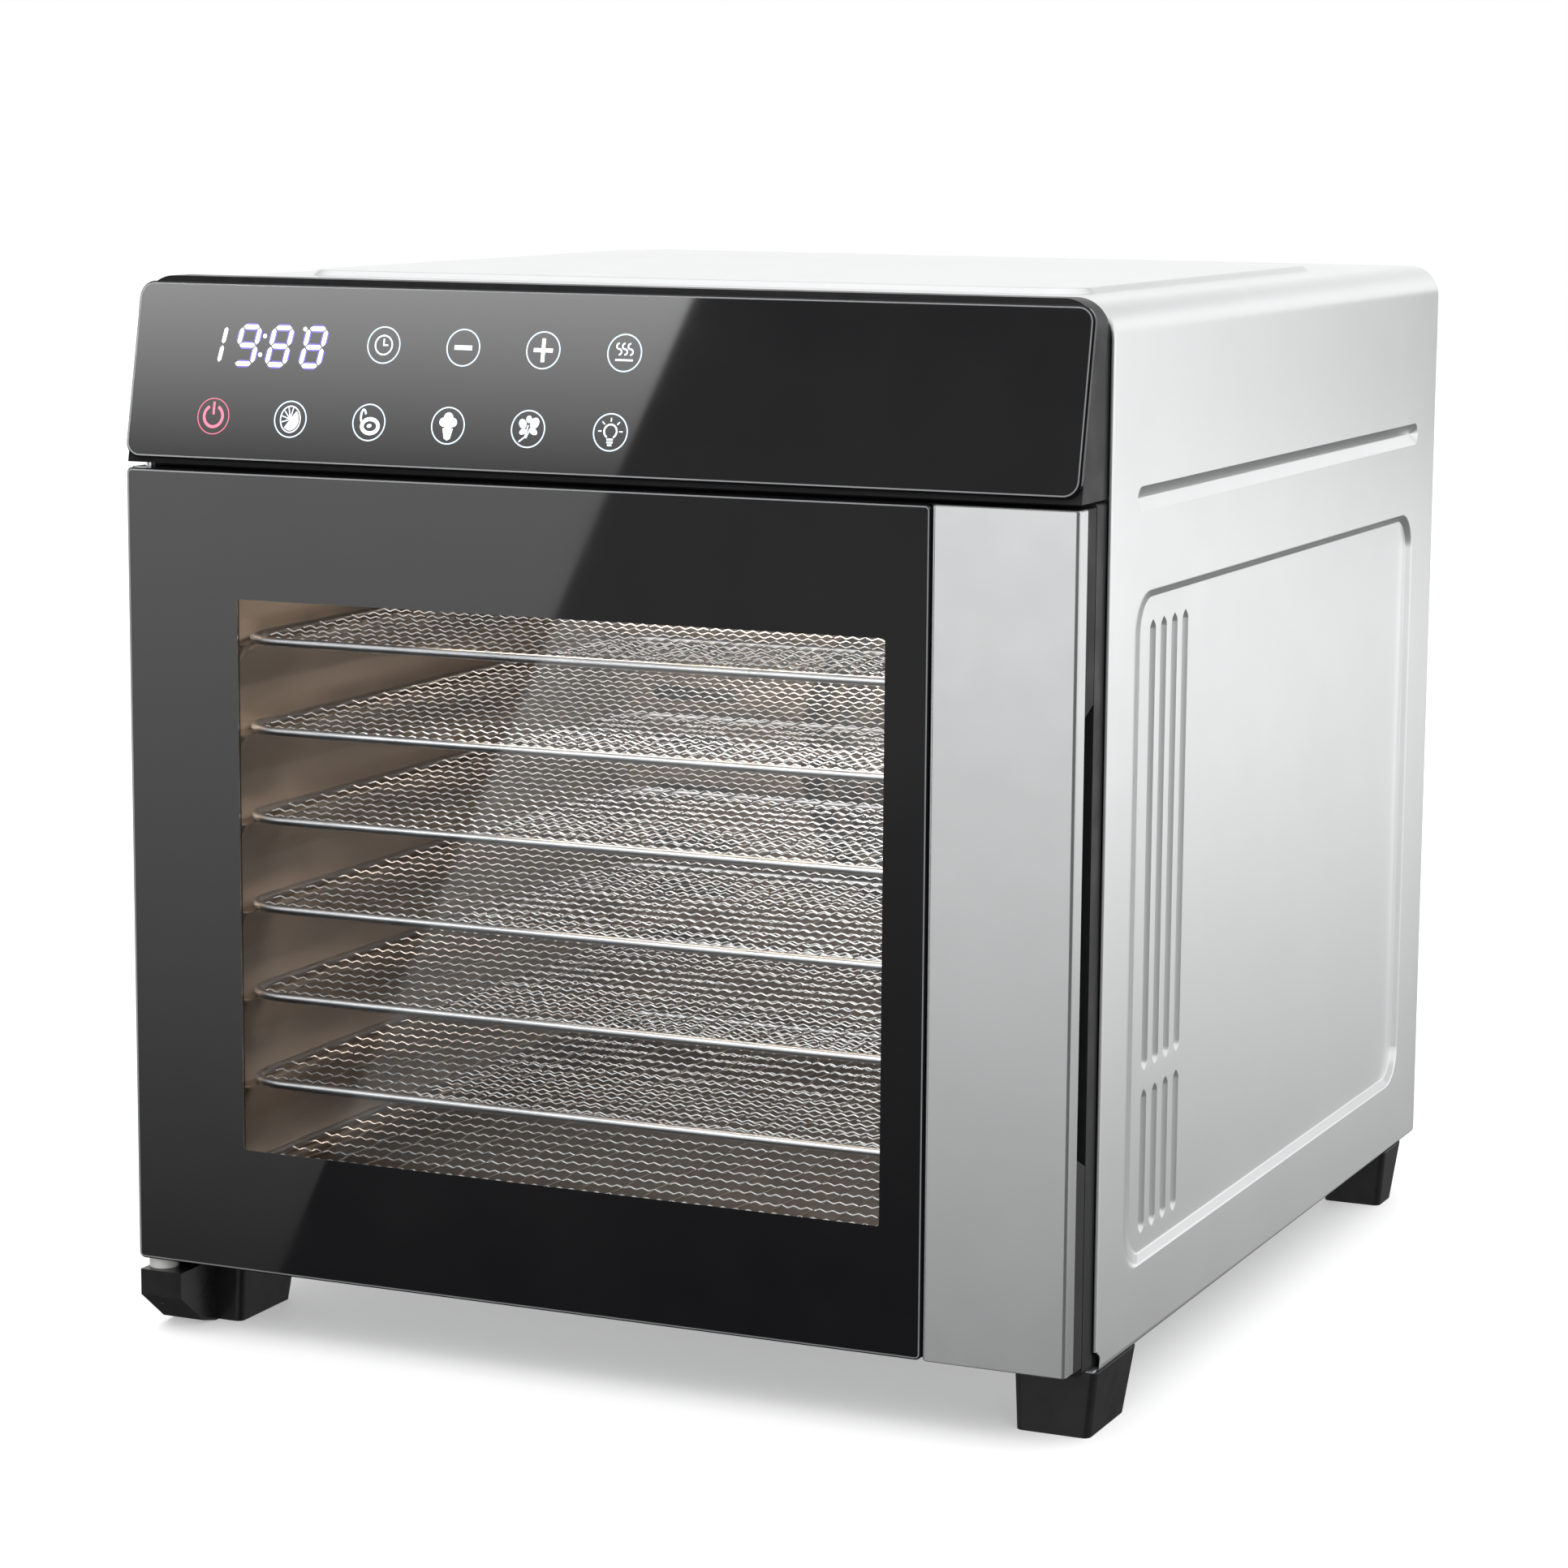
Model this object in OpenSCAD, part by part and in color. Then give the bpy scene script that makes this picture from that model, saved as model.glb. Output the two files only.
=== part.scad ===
// Tray food dehydrator: a steel case with a tilted touch panel, a side-hinged glass door,
// seven wire trays, and a fan and ring heater behind a perforated back wall.
// Millimetres. +Z is up and the door faces -Y. The origin is on the floor, at the centre
// of the whole outline. Inside in_case(), y = 0 is the front edge of the steel case.

/* [Case] */
// Width of the steel case
case_w = 340; // [336:1:350]
// Depth of the steel case, front edge to rear edge
case_d = 364; // [364:1:380]
// Height of the flat top above the floor
case_top = 358; // [358:1:362]
// Thickness of the case and liner sheet
sheet_t = 0.8; // [0.6:0.1:1.2]
// Outer radius of the fold between the top and the sides
fold_r = 11; // [9:1:14]
// Height of the raised field pressed into the top
field_h = 2; // [1:0.5:3]
// Depth of the rectangle pressed into each side
recess_depth = 2; // [1:0.5:2.5]
// Depth of the long groove pressed above that rectangle
groove_depth = 3; // [2:0.5:3.5]

/* [Feet] */
// Height of the feet
foot_h = 21.5; // [21:0.5:22]

/* [Control panel] */
// How far the lower edge of the control glass stands in front of the case
front_reach = 25; // [25:0.5:27]
// Height of the lower edge of the control glass
panel_z = 300; // [300:0.5:300.5]
// Length of the control glass along its slope
panel_len = 59; // [58:0.5:59]
// Lean of the control glass back from upright, in degrees
panel_tilt = 11.6; // [10:0.1:12]
// Thickness of the control glass
panel_glass_t = 2.5; // [2:0.1:3]

/* [Door] */
// Height of the door's lower edge
door_z0 = 26; // [26:0.1:27]
// Height of the door's upper edge
door_z1 = 296.4; // [294:0.1:296.4]
// Thickness of the door glass
door_glass_t = 4; // [3.5:0.1:4.2]
// Where the glass ends and the steel strip begins, from the centre line
strip_x = 120; // [116:1:124]
// Left edge of the window, from the centre line
window_x0 = -126.5; // [-130:0.5:-120]
// Right edge of the window, from the centre line
window_x1 = 105.3; // [100:0.1:108]
// Lower edge of the window
window_z0 = 68; // [60:1:80]
// Upper edge of the window
window_z1 = 254.4; // [240:0.1:260]
// How much wider the frame's opening behind the window is, on each side
window_back = 8; // [0:0.5:10]

/* [Trays] */
// Height of the top tray's frame
tray_top_z = 235.7; // [230:0.1:238]
// Distance from one tray to the next
tray_pitch = 30.7; // [29:0.1:30.7]
// Diameter of the tray's frame rod
rod_d = 3.2; // [2.8:0.1:3.4]
// Depth of a tray
tray_d = 294; // [280:1:294]

/* [Fan and heater] */
// Radius of the fan blades
blade_r = 64; // [50:1:66]
// Number of fan blades
blade_count = 7; // [5:1:9]
// Radius of the heater ring
heater_r = 80; // [78:1:84]

/* [Hidden] */
$fn = 48;

half = case_w / 2;
front_half = half - 1.5;
case_front_y = -(case_d - front_reach) / 2;
tiny = 0.01;

// Side pressings, as ranges along y and z
recess_y = [22.2, 336.9];
recess_z = [47.2, 267];
recess_r = 14;
groove_y = [23.7, 340.2];
groove_z = 296.1;
groove_w = 8.2;
flute_y = 46.3;
flute_pitch = 10.6;
flute_w = 4;
flute_depth = 1.5;
flute_z = [[56, 104], [110, 256.5]];

// Raised field of the top
field_half = 143;
field_y = [44, 298];
field_r = 14;

// Rear wall: flange of the wrap, then the panel on it
rear_y = case_d - 4.2;
flange_w = 12;
rear_screw_z = [60, 150, 240, 330];
rear_screw_x = half - 7;
screw_r = 1.5;
screw_head_r = 3.2;
screw_head_h = 1.8;
screw_gap = 0.1;
hem_h = 12;

// Cavity
cavity_half = half - 15;
cavity_z0 = 37.2;
cavity_z1 = 288;
liner_y = 312;
liner_half = cavity_half + sheet_t;
liner_z0 = cavity_z0 - sheet_t;
liner_z1 = cavity_z1 + sheet_t;
fan_z = (cavity_z0 + cavity_z1) / 2;

// Front frame
frame_y = -9;
frame_z = [22.5, 297.9];
mouth_half = cavity_half - 1.5;
mouth_z = [37.5, 287.5];
spigot_y = 8;
spigot_half = front_half - 0.4;
spigot_t = 2.2;

// Door, front face to rear face
door_front_y = -24;
door_rear_y = -9.5;
door_plate_y = door_front_y + door_glass_t;
pivot = [-half + 7, -17];
pivot_r = door_rear_y - pivot[1];
pin_r = 2;
pin_gap = 0.05;
pin_depth = 12;
strip_t = 1.2;
strip_gap = 0.3;
edge_y = -17;
grip_z = [86.5, 240.6];
grip_depth = 10;
gasket_half = cavity_half + 2.5;
gasket_z = [33.5, 291];
gasket_w = 2.5;
gasket_y = [-12, -9.3];
magnet_size = [7, 4, 20];
magnet_z = [40, 262];
magnet_x = half - 7;
catch_t = 1.2;

// Control housing
housing_z = [298.2, case_top + 1.5];
housing_t = 2.2;
board_n = -9;
board_t = 1.4;
pad_r = 4.5;
pad_rows = [[14.6, [-135.7, -106.5, -77.2, -48.2, -19.3, 9.9]], [39.9, [-74.3, -45.2, -16.4, 12.4]]];
display_x = [-139, -90];
display_v = [28, 50];

// Trays and their ledges
tray_count = 7;
tray_y = 10.4;
tray_half = cavity_half - 4;
tray_corner_r = 18;
mesh_t = 1;
mesh_cells = [12, 11];
mesh_bar = 2;
rail_half = 146;
rail_t = 3;
rail_gap = 0.3;

// Fan and heater, along y
shaft_r = 3;
shaft_gap = 0.05;
fan_hole_r = 72;
guard_t = 2.2;
housing_half = 150;
housing_high = 104;
housing_back_y = 338;
hub_r = 13;
hub_y = [319, 332];
motor_r = 33;
heater_tube_r = 3.25;
heater_y = 327;
heater_gap = 12;
bend_r = 8;
leg_x = heater_r * sin(heater_gap) - bend_r * cos(heater_gap);
leg_z = fan_z - heater_r * cos(heater_gap) - bend_r * sin(heater_gap);
leg_end_y = 348;

// Lamp in the cavity roof
lamp_pos = [0, 70];
lamp_hole_r = 12;

// Mains inlet, seen from behind at the lower right
inlet_pos = [-120, 45];
inlet_y = rear_y + sheet_t;

function tray_z(i) = tray_top_z - i * tray_pitch;
function about(centre, reach) = [centre - reach, centre + reach];

module in_case() {
    translate([0, case_front_y, 0]) children();
}

// Extrudes an (x, z) outline from y0 to y1
module along_y(y0, y1) {
    translate([0, y1, 0]) rotate([90, 0, 0]) linear_extrude(y1 - y0) children();
}

// Extrudes a (y, z) outline from x0 to x1
module along_x(x0, x1) {
    translate([x0, 0, 0]) rotate([90, 0, 90]) linear_extrude(x1 - x0) children();
}

// A box given by its two corners
module block(low, high) {
    translate(low) cube(high - low);
}

// A rectangle between two ranges with round corners
module round_rect(u, v, r) {
    translate([u[0], v[0] + r]) square([u[1] - u[0], v[1] - v[0] - 2 * r]);
    translate([u[0] + r, v[0]]) square([u[1] - u[0] - 2 * r, v[1] - v[0]]);
    for (a = [u[0] + r, u[1] - r], b = [v[0] + r, v[1] - r]) translate([a, b]) circle(r);
}

// A rectangle with only its two upper corners rounded
module arch(w, z0, z1, r) {
    translate([-w, z0]) square([2 * w, z1 - r - z0]);
    translate([-w + r, z0]) square([2 * w - 2 * r, z1 - z0]);
    for (s = [-1, 1]) translate([s * (w - r), z1 - r]) circle(r);
}

// A slot with round ends
module slot_2d(u, v) {
    round_rect(u, v, min(u[1] - u[0], v[1] - v[0]) / 2 - tiny);
}

module both_sides() {
    children();
    mirror([1, 0, 0]) children();
}

// Local frame of the control glass: x across, y up its slope, z out of its face
module on_panel() {
    translate([0, -front_reach, panel_z]) rotate([90 - panel_tilt, 0, 0]) children();
}

// A pan-head screw whose head lies on the plane y = 0 and whose shank runs towards -y
module rear_screw(shank) {
    along_y(0, screw_head_h) circle(screw_head_r);
    along_y(-shank, 0) circle(screw_r);
}

module rear_screw_places() {
    for (z = rear_screw_z, s = [-1, 1]) translate([s * rear_screw_x, 0, z]) children();
}

// ---- Case ----

module side_pressings(x0, grow) {
    along_x(x0 - recess_depth - grow, half + 1)
        round_rect(recess_y + [-grow, grow], recess_z + [-grow, grow], recess_r + grow);
    along_x(x0 - groove_depth - grow, half + 1)
        slot_2d(groove_y + [-grow, grow], about(groove_z, groove_w / 2 + grow));
    for (i = [0:3], z = flute_z)
        along_x(x0 - recess_depth - flute_depth - grow, half + 1)
            slot_2d(about(flute_y + i * flute_pitch, flute_w / 2 + grow), z + [-grow, grow]);
}

module outer_wrap() {
    color("gainsboro") in_case() difference() {
        union() {
            along_y(0, case_d) difference() {
                arch(half, foot_h, case_top, fold_r);
                arch(half - sheet_t, foot_h - 1, case_top - sheet_t, fold_r - sheet_t);
            }
            along_y(rear_y - sheet_t, rear_y) difference() {
                arch(half - sheet_t / 2, foot_h + 2, case_top - sheet_t / 2, fold_r - sheet_t / 2);
                arch(half - flange_w, foot_h, case_top - flange_w, fold_r);
            }
            translate([0, 0, case_top - sheet_t / 2]) linear_extrude(field_h + sheet_t / 2)
                round_rect([-field_half, field_half], field_y, field_r);
            both_sides() intersection() {
                side_pressings(half, sheet_t);
                block([0, 0, 0], [half - sheet_t / 2, case_d, case_top]);
            }
        }
        translate([0, 0, case_top - 2 * sheet_t]) linear_extrude(field_h + sheet_t)
            round_rect([-field_half + sheet_t, field_half - sheet_t], field_y + [sheet_t, -sheet_t],
                field_r - sheet_t);
        both_sides() side_pressings(half, 0);
        rear_screw_places() along_y(rear_y - 5, rear_y + 5) circle(screw_r + screw_gap);
    }
}

module base_pan() {
    w = half - sheet_t;
    z1 = foot_h + sheet_t;
    y1 = rear_y - sheet_t;
    color("silver") in_case() difference() {
        union() {
            block([-w, 0, foot_h], [w, y1, z1]);
            both_sides() block([w - sheet_t, spigot_y + 0.5, foot_h], [w, y1, z1 + hem_h]);
            block([-w, y1 - sheet_t, foot_h], [w, y1, z1 + hem_h]);
        }
        for (p = foot_screw_points) translate([p[0], p[1], foot_h - 1]) cylinder(r = 2.1, h = 5);
        for (i = [-4:4]) translate([i * 22, 180, foot_h - 1]) linear_extrude(4)
            slot_2d(about(0, 3), about(0, 50));
    }
}

module rear_panel() {
    w = half - sheet_t - 0.3;
    color("silver") in_case() along_y(rear_y, rear_y + sheet_t) difference() {
        arch(w, foot_h + 1, case_top - sheet_t - 0.3, fold_r - sheet_t - 0.3);
        for (z = rear_screw_z, s = [-1, 1]) translate([s * rear_screw_x, z]) circle(screw_r + screw_gap);
        for (s = [-1, 1], i = [-4:4]) slot_2d(about(s * 42, 28), about(fan_z + i * 12, 2.5));
        for (s = [-1, 1], i = [0:2]) slot_2d(about(s * 60, 40), about(312 + i * 12, 2));
        translate(inlet_pos) square([27.2, 20.2], center = true);
    }
}

module rear_panel_screws() {
    color("dimgray") in_case() translate([0, rear_y + sheet_t, 0]) rear_screw_places() rear_screw(7);
}

module front_frame() {
    color("#151515") in_case() difference() {
        union() {
            along_y(frame_y, 0) difference() {
                round_rect([-front_half, front_half], frame_z, 2);
                round_rect([-mouth_half, mouth_half], mouth_z, 4);
            }
            along_y(-1, spigot_y) difference() {
                square_range(spigot_half, frame_z + [0.7, -0.5]);
                square_range(spigot_half - spigot_t, frame_z + [0.7 + spigot_t, -0.5 - spigot_t]);
            }
        }
        catch_plate_blocks();
    }
}

module square_range(w, z) {
    translate([-w, z[0]]) square([2 * w, z[1] - z[0]]);
}

module catch_plate_blocks() {
    for (z = magnet_z) block([magnet_x - 4, frame_y, z - 1],
        [magnet_x + 4, frame_y + catch_t, z + magnet_size[2] + 1]);
}

module catch_plates() {
    color("lightgray") in_case() catch_plate_blocks();
}

// ---- Cavity ----

module liner_side(s) {
    color("silver") in_case() mirror([s < 0 ? 1 : 0, 0, 0])
        block([cavity_half, 0, liner_z0], [liner_half, liner_y, liner_z1]);
}

module liner_left() { liner_side(-1); }
module liner_right() { liner_side(1); }

module tray_rails(s) {
    color("lightgray") in_case() mirror([s < 0 ? 1 : 0, 0, 0]) for (i = [0:tray_count - 1]) {
        top = tray_z(i) - rod_d / 2 - rail_gap;
        block([rail_half, tray_y + 3, top - rail_t], [cavity_half, liner_y - 6, top]);
    }
}

module tray_rails_left() { tray_rails(-1); }
module tray_rails_right() { tray_rails(1); }

module liner_top() {
    color("silver") in_case() difference() {
        block([-cavity_half, 0, cavity_z1], [cavity_half, liner_y, liner_z1]);
        translate([lamp_pos[0], lamp_pos[1], cavity_z1 - 1]) cylinder(r = lamp_hole_r, h = 4);
    }
}

module liner_floor() {
    color("silver") in_case() block([-cavity_half, 0, liner_z0], [cavity_half, liner_y, cavity_z0]);
}

module guard_screw_places() {
    for (a = [45:90:315]) rotate([0, a, 0]) translate([fan_hole_r + 5, 0, 0]) children();
}

module liner_back() {
    color("silver") in_case() translate([0, 0, fan_z]) difference() {
        along_y(liner_y, liner_y + sheet_t) difference() {
            square_range(liner_half, [liner_z0 - fan_z, liner_z1 - fan_z]);
            circle(fan_hole_r);
            for (s = [-1, 1], i = [-4:4]) slot_2d(about(s * 118, 18), about(i * 20, 3));
        }
        guard_screw_places() along_y(liner_y - 1, liner_y + 3) circle(screw_r + screw_gap);
    }
}

module fan_guard() {
    color("lightgray") in_case() translate([0, 0, fan_z]) difference() {
        along_y(liner_y - guard_t, liner_y) {
            difference() {
                circle(fan_hole_r + 10);
                circle(fan_hole_r - 2);
            }
            for (r = [16:14:58]) difference() {
                circle(r + 1.2);
                circle(r - 1.2);
            }
            circle(7);
            for (a = [0:60:120]) rotate(a) square([2 * fan_hole_r, 2.6], center = true);
        }
        guard_screw_places() along_y(liner_y - 5, liner_y + 1) circle(screw_r + screw_gap);
    }
}

module fan_guard_screws() {
    color("dimgray") in_case() translate([0, liner_y - guard_t, fan_z]) guard_screw_places()
        mirror([0, 1, 0]) rear_screw(7);
}

// ---- Fan and heater ----

module fan_housing() {
    z = [fan_z - housing_high, fan_z + housing_high];
    back = housing_back_y + sheet_t;
    color("darkgray") in_case() difference() {
        block([-housing_half, liner_y + sheet_t, z[0]], [housing_half, back, z[1]]);
        block([-housing_half + sheet_t, liner_y, z[0] + sheet_t],
            [housing_half - sheet_t, housing_back_y, z[1] - sheet_t]);
        along_y(housing_back_y - 1, back + 1) {
            translate([0, fan_z]) circle(10);
            for (s = [-1, 1]) translate([s * leg_x, leg_z]) circle(4);
        }
    }
}

module fan_motor() {
    back = housing_back_y + sheet_t;
    color("slategray") in_case() translate([0, 0, fan_z]) difference() {
        union() {
            along_y(back, back + 15) circle(motor_r);
            along_y(back + 15, back + 18.5) circle(9);
            along_y(back - 5, back) circle(9.8);
        }
        along_y(back - 6, back + 20) circle(shaft_r + shaft_gap);
        for (a = [30:60:330]) rotate([0, a, 0]) along_y(back + 10, back + 16) translate([22, 0]) circle(5);
    }
}

module motor_shaft() {
    color("silver") in_case() translate([0, 0, fan_z])
        along_y(hub_y[0] - 4, housing_back_y + sheet_t + 18) circle(shaft_r);
}

module fan_impeller() {
    color("darkgray") in_case() translate([0, 0, fan_z]) difference() {
        union() {
            along_y(hub_y[0], hub_y[1]) circle(hub_r);
            for (i = [0:blade_count - 1]) rotate([0, i * 360 / blade_count, 0])
                translate([hub_r - 1, (hub_y[0] + hub_y[1]) / 2, 0]) rotate([35, 0, 0])
                    translate([0, -0.6, -11]) cube([blade_r - hub_r + 1, 1.2, 22]);
        }
        along_y(hub_y[0] - 10, hub_y[1] + 10) circle(shaft_r + tiny);
    }
}

module fan_nut() {
    color("silver") in_case() translate([0, 0, fan_z]) along_y(hub_y[0] - 3.5, hub_y[0]) difference() {
        circle(5, $fn = 6);
        circle(shaft_r + tiny);
    }
}

// A ring open at the bottom, whose two ends bend backwards through the housing
module heater_element() {
    color("saddlebrown") in_case() translate([0, heater_y, fan_z]) rotate([90, 0, 0]) {
        rotate([0, 0, heater_gap - 90]) rotate_extrude(angle = 360 - 2 * heater_gap)
            translate([heater_r, 0]) circle(heater_tube_r);
        both_sides() rotate([0, 0, heater_gap - 90]) translate([heater_r, 0, -bend_r]) {
            rotate([0, 90, 0]) rotate([0, 0, 180]) rotate_extrude(angle = 90)
                translate([bend_r, 0]) circle(heater_tube_r);
            translate([0, -bend_r, heater_y + bend_r - leg_end_y])
                cylinder(r = heater_tube_r, h = leg_end_y - heater_y - bend_r);
        }
    }
}

module heater_posts() {
    color("lightgray") in_case() translate([0, 0, fan_z]) for (a = [90, 210, 330]) rotate([0, -a, 0])
        translate([heater_r, 0, 0]) along_y(heater_y + heater_tube_r + 0.1, housing_back_y) circle(4);
}

module thermal_cutout() {
    y = housing_back_y + sheet_t;
    color("ivory") in_case() translate([62, 0, fan_z + 58]) {
        along_y(y, y + 6) circle(8);
        for (s = [-1, 1]) block([s * 4 - 2, y + 6, -0.4], [s * 4 + 2, y + 12, 0.4]);
    }
}

module temperature_sensor() {
    color("silver") in_case() translate([118, 0, 262]) {
        along_y(288, liner_y) circle(2.2);
        along_y(liner_y - 1.5, liner_y) circle(5);
    }
}

// ---- Lamp ----

module lamp_holder() {
    color("ivory") in_case() translate([lamp_pos[0], lamp_pos[1], liner_z1]) difference() {
        cylinder(r = 17, h = 28);
        translate([0, 0, -1]) cylinder(r = lamp_hole_r, h = 26);
    }
}

module lamp_bulb() {
    color("lightyellow") in_case() translate([lamp_pos[0], lamp_pos[1], 0]) {
        translate([0, 0, liner_z1 + 12]) cylinder(r = 5, h = 13);
        translate([0, 0, cavity_z1 + 3]) cylinder(r = 8.5, h = 12);
        translate([0, 0, cavity_z1 + 3]) sphere(8.5);
    }
}

module lamp_cover() {
    color("white", 0.5) in_case() translate([lamp_pos[0], lamp_pos[1], cavity_z1 - 9]) difference() {
        cylinder(r = 21, h = 9);
        translate([0, 0, 2]) cylinder(r = 18, h = 9);
    }
}

// ---- Control panel ----

module control_housing() {
    slope = tan(panel_tilt);
    back_y = -front_reach + panel_glass_t / cos(panel_tilt);
    z0 = housing_z[0];
    z1 = housing_z[1];
    outline = [for (z = [z0, z1]) [back_y + (z - panel_z) * slope, z]];
    wall_y = housing_t / cos(panel_tilt);
    color("#1a1a1a") in_case() difference() {
        union() {
            intersection() {
                along_y(-front_reach - 5, 0) arch(front_half, z0, z1, fold_r);
                along_x(-half, half) polygon([outline[0], outline[1], [0, z1], [0, z0]]);
            }
            along_y(-1, spigot_y) difference() {
                arch(spigot_half, z0 + 1, case_top - sheet_t - 0.4, fold_r - sheet_t - 0.4);
                arch(spigot_half - spigot_t, z0 + 1 + spigot_t, case_top - sheet_t - 0.4 - spigot_t, 7);
            }
        }
        intersection() {
            along_y(-front_reach, spigot_y + 1) arch(front_half - 3, z0 + 3.2, z1 - 5.5, 6);
            along_x(-half, half) polygon([outline[0] + [wall_y, 0], outline[1] + [wall_y, 0],
                [spigot_y + 1, z1], [spigot_y + 1, z0]]);
        }
        on_panel() translate([0, 0, -panel_glass_t - 6]) linear_extrude(6.5)
            round_rect([-front_half + 12, front_half - 12], [6, panel_len - 8], 3);
        translate([pivot[0], pivot[1], z0 - 1]) cylinder(r = pin_r, h = 12);
    }
}

module control_glass() {
    color("black") in_case() on_panel() translate([0, 0, -panel_glass_t]) linear_extrude(panel_glass_t)
        round_rect([-front_half, front_half], [0, panel_len], 5.5);
}

module control_board() {
    color("darkgreen") in_case() on_panel() translate([0, 0, board_n]) linear_extrude(board_t)
        round_rect([-148, 148], [8, 50], 1);
}

module display_module() {
    color("white") in_case() on_panel()
        block([display_x[0], display_v[0], board_n + board_t], [display_x[1], display_v[1], -panel_glass_t]);
}

module touch_pads() {
    color("gold") in_case() on_panel() for (row = pad_rows, x = row[1])
        translate([x, row[0], board_n + board_t]) cylinder(r = pad_r, h = -panel_glass_t - board_n - board_t);
}

// ---- Electronics over the cavity ----

module power_board() {
    color("darkgreen") in_case() {
        block([20, 120, liner_z1 + 6], [140, 250, liner_z1 + 7.6]);
        for (x = [26, 134], y = [126, 244]) translate([x, y, liner_z1]) cylinder(r = 3, h = 6);
    }
}

module power_board_parts() {
    z = liner_z1 + 7.6;
    color("dimgray") in_case() {
        block([30, 135, z], [72, 171, z + 30]);
        block([86, 135, z], [106, 151, z + 16]);
        block([86, 160, z], [106, 176, z + 16]);
        block([30, 215, z], [70, 219, z + 26]);
        for (x = [90, 108, 126]) translate([x, 215, z]) cylinder(r = 6, h = 20);
    }
}

// ---- Mains inlet ----

module inlet_socket() {
    color("#202020") in_case() translate([inlet_pos[0], 0, inlet_pos[1]]) difference() {
        union() {
            along_y(inlet_y, inlet_y + 2.6) round_rect([-25, 25], [-12, 12], 4);
            along_y(inlet_y - 17, inlet_y) square([27, 20], center = true);
        }
        along_y(inlet_y - 13.4, inlet_y + 3) round_rect([-12, 12], [-8.1, 8.1], 2);
        for (x = [-7, 0, 7]) block([x - 1, inlet_y - 20, -2.2], [x + 1, inlet_y, 2.2]);
    }
}

module inlet_pins() {
    color("silver") in_case() translate([inlet_pos[0], 0, inlet_pos[1]])
        for (x = [-7, 0, 7]) block([x - 1, inlet_y - 24, -2.2], [x + 1, inlet_y - 3.4, 2.2]);
}

// ---- Feet and hinge ----

foot_screw_points = [for (s = [-1, 1]) each [[s * 156, 18], [s * 157.5, 333]]];

// A foot that narrows downwards, given by its top and bottom outlines
module foot(x_top, y_top, x_low, y_low, hole) {
    difference() {
        hull() {
            translate([0, 0, foot_h - 0.5]) linear_extrude(0.5) round_rect(x_top, y_top, 2.5, $fn = 24);
            linear_extrude(0.5) round_rect(x_low, y_low, 2.5, $fn = 24);
        }
        translate([hole[0], hole[1], -1]) cylinder(r = 2.1, h = foot_h + 2);
        translate([hole[0], hole[1], -1]) cylinder(r = 5, h = 13);
    }
}

module front_foot() {
    foot([142, half], [0, 39], [143, half - 2], [0, 33.5], foot_screw_points[2]);
}

module rear_foot() {
    foot([145.5, half], [323.5, 346.5], [146, half - 2], [324.5, 341], foot_screw_points[3]);
}

module foot_front_left() {
    color("#151515") in_case() difference() {
        union() {
            mirror([1, 0, 0]) front_foot();
            along_x(-half + 2, -half + 18)
                polygon([[-24, 13], [-24, foot_h + 0.5], [-0.5, foot_h + 0.5], [-0.5, foot_h], [3, foot_h],
                    [3, 0], [-2, 0], [-10, 2]]);
        }
        translate([pivot[0], pivot[1], 9]) cylinder(r = pin_r, h = 20);
    }
}

module foot_front_right() {
    color("#151515") in_case() front_foot();
}

module foot_rear_left() {
    color("#151515") in_case() mirror([1, 0, 0]) rear_foot();
}

module foot_rear_right() {
    color("#151515") in_case() rear_foot();
}

module foot_screws() {
    color("dimgray") in_case() for (p = foot_screw_points) translate([p[0], p[1], 12]) {
        translate([0, 0, -3]) cylinder(r = 4, h = 3);
        cylinder(r = 2, h = foot_h - 12 + 8);
    }
}

module hinge_pin_lower() {
    color("silver") in_case() translate([pivot[0], pivot[1], 9])
        cylinder(r = pin_r, h = door_z0 + pin_depth - 9.5);
}

module hinge_washer() {
    z = foot_h + 0.5;
    color("white") in_case() translate([pivot[0], pivot[1], z]) difference() {
        cylinder(r = 5, h = door_z0 - z - 0.4);
        translate([0, 0, -1]) cylinder(r = pin_r + tiny, h = 6);
    }
}

module hinge_pin_upper() {
    color("silver") in_case() translate([pivot[0], pivot[1], door_z1 - pin_depth + 0.5])
        cylinder(r = pin_r, h = housing_z[0] + 8 - door_z1 + pin_depth);
}

// ---- Door ----

// Plan of the door frame: rounded about the pivot so that the door can swing
module door_plan() {
    intersection() {
        union() {
            translate(pivot) circle(pivot_r);
            translate([pivot[0], door_plate_y]) square([front_half - pivot[0], door_rear_y - door_plate_y]);
        }
        translate([-front_half, door_plate_y]) square([2 * front_half, door_rear_y - door_plate_y]);
    }
}

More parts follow.
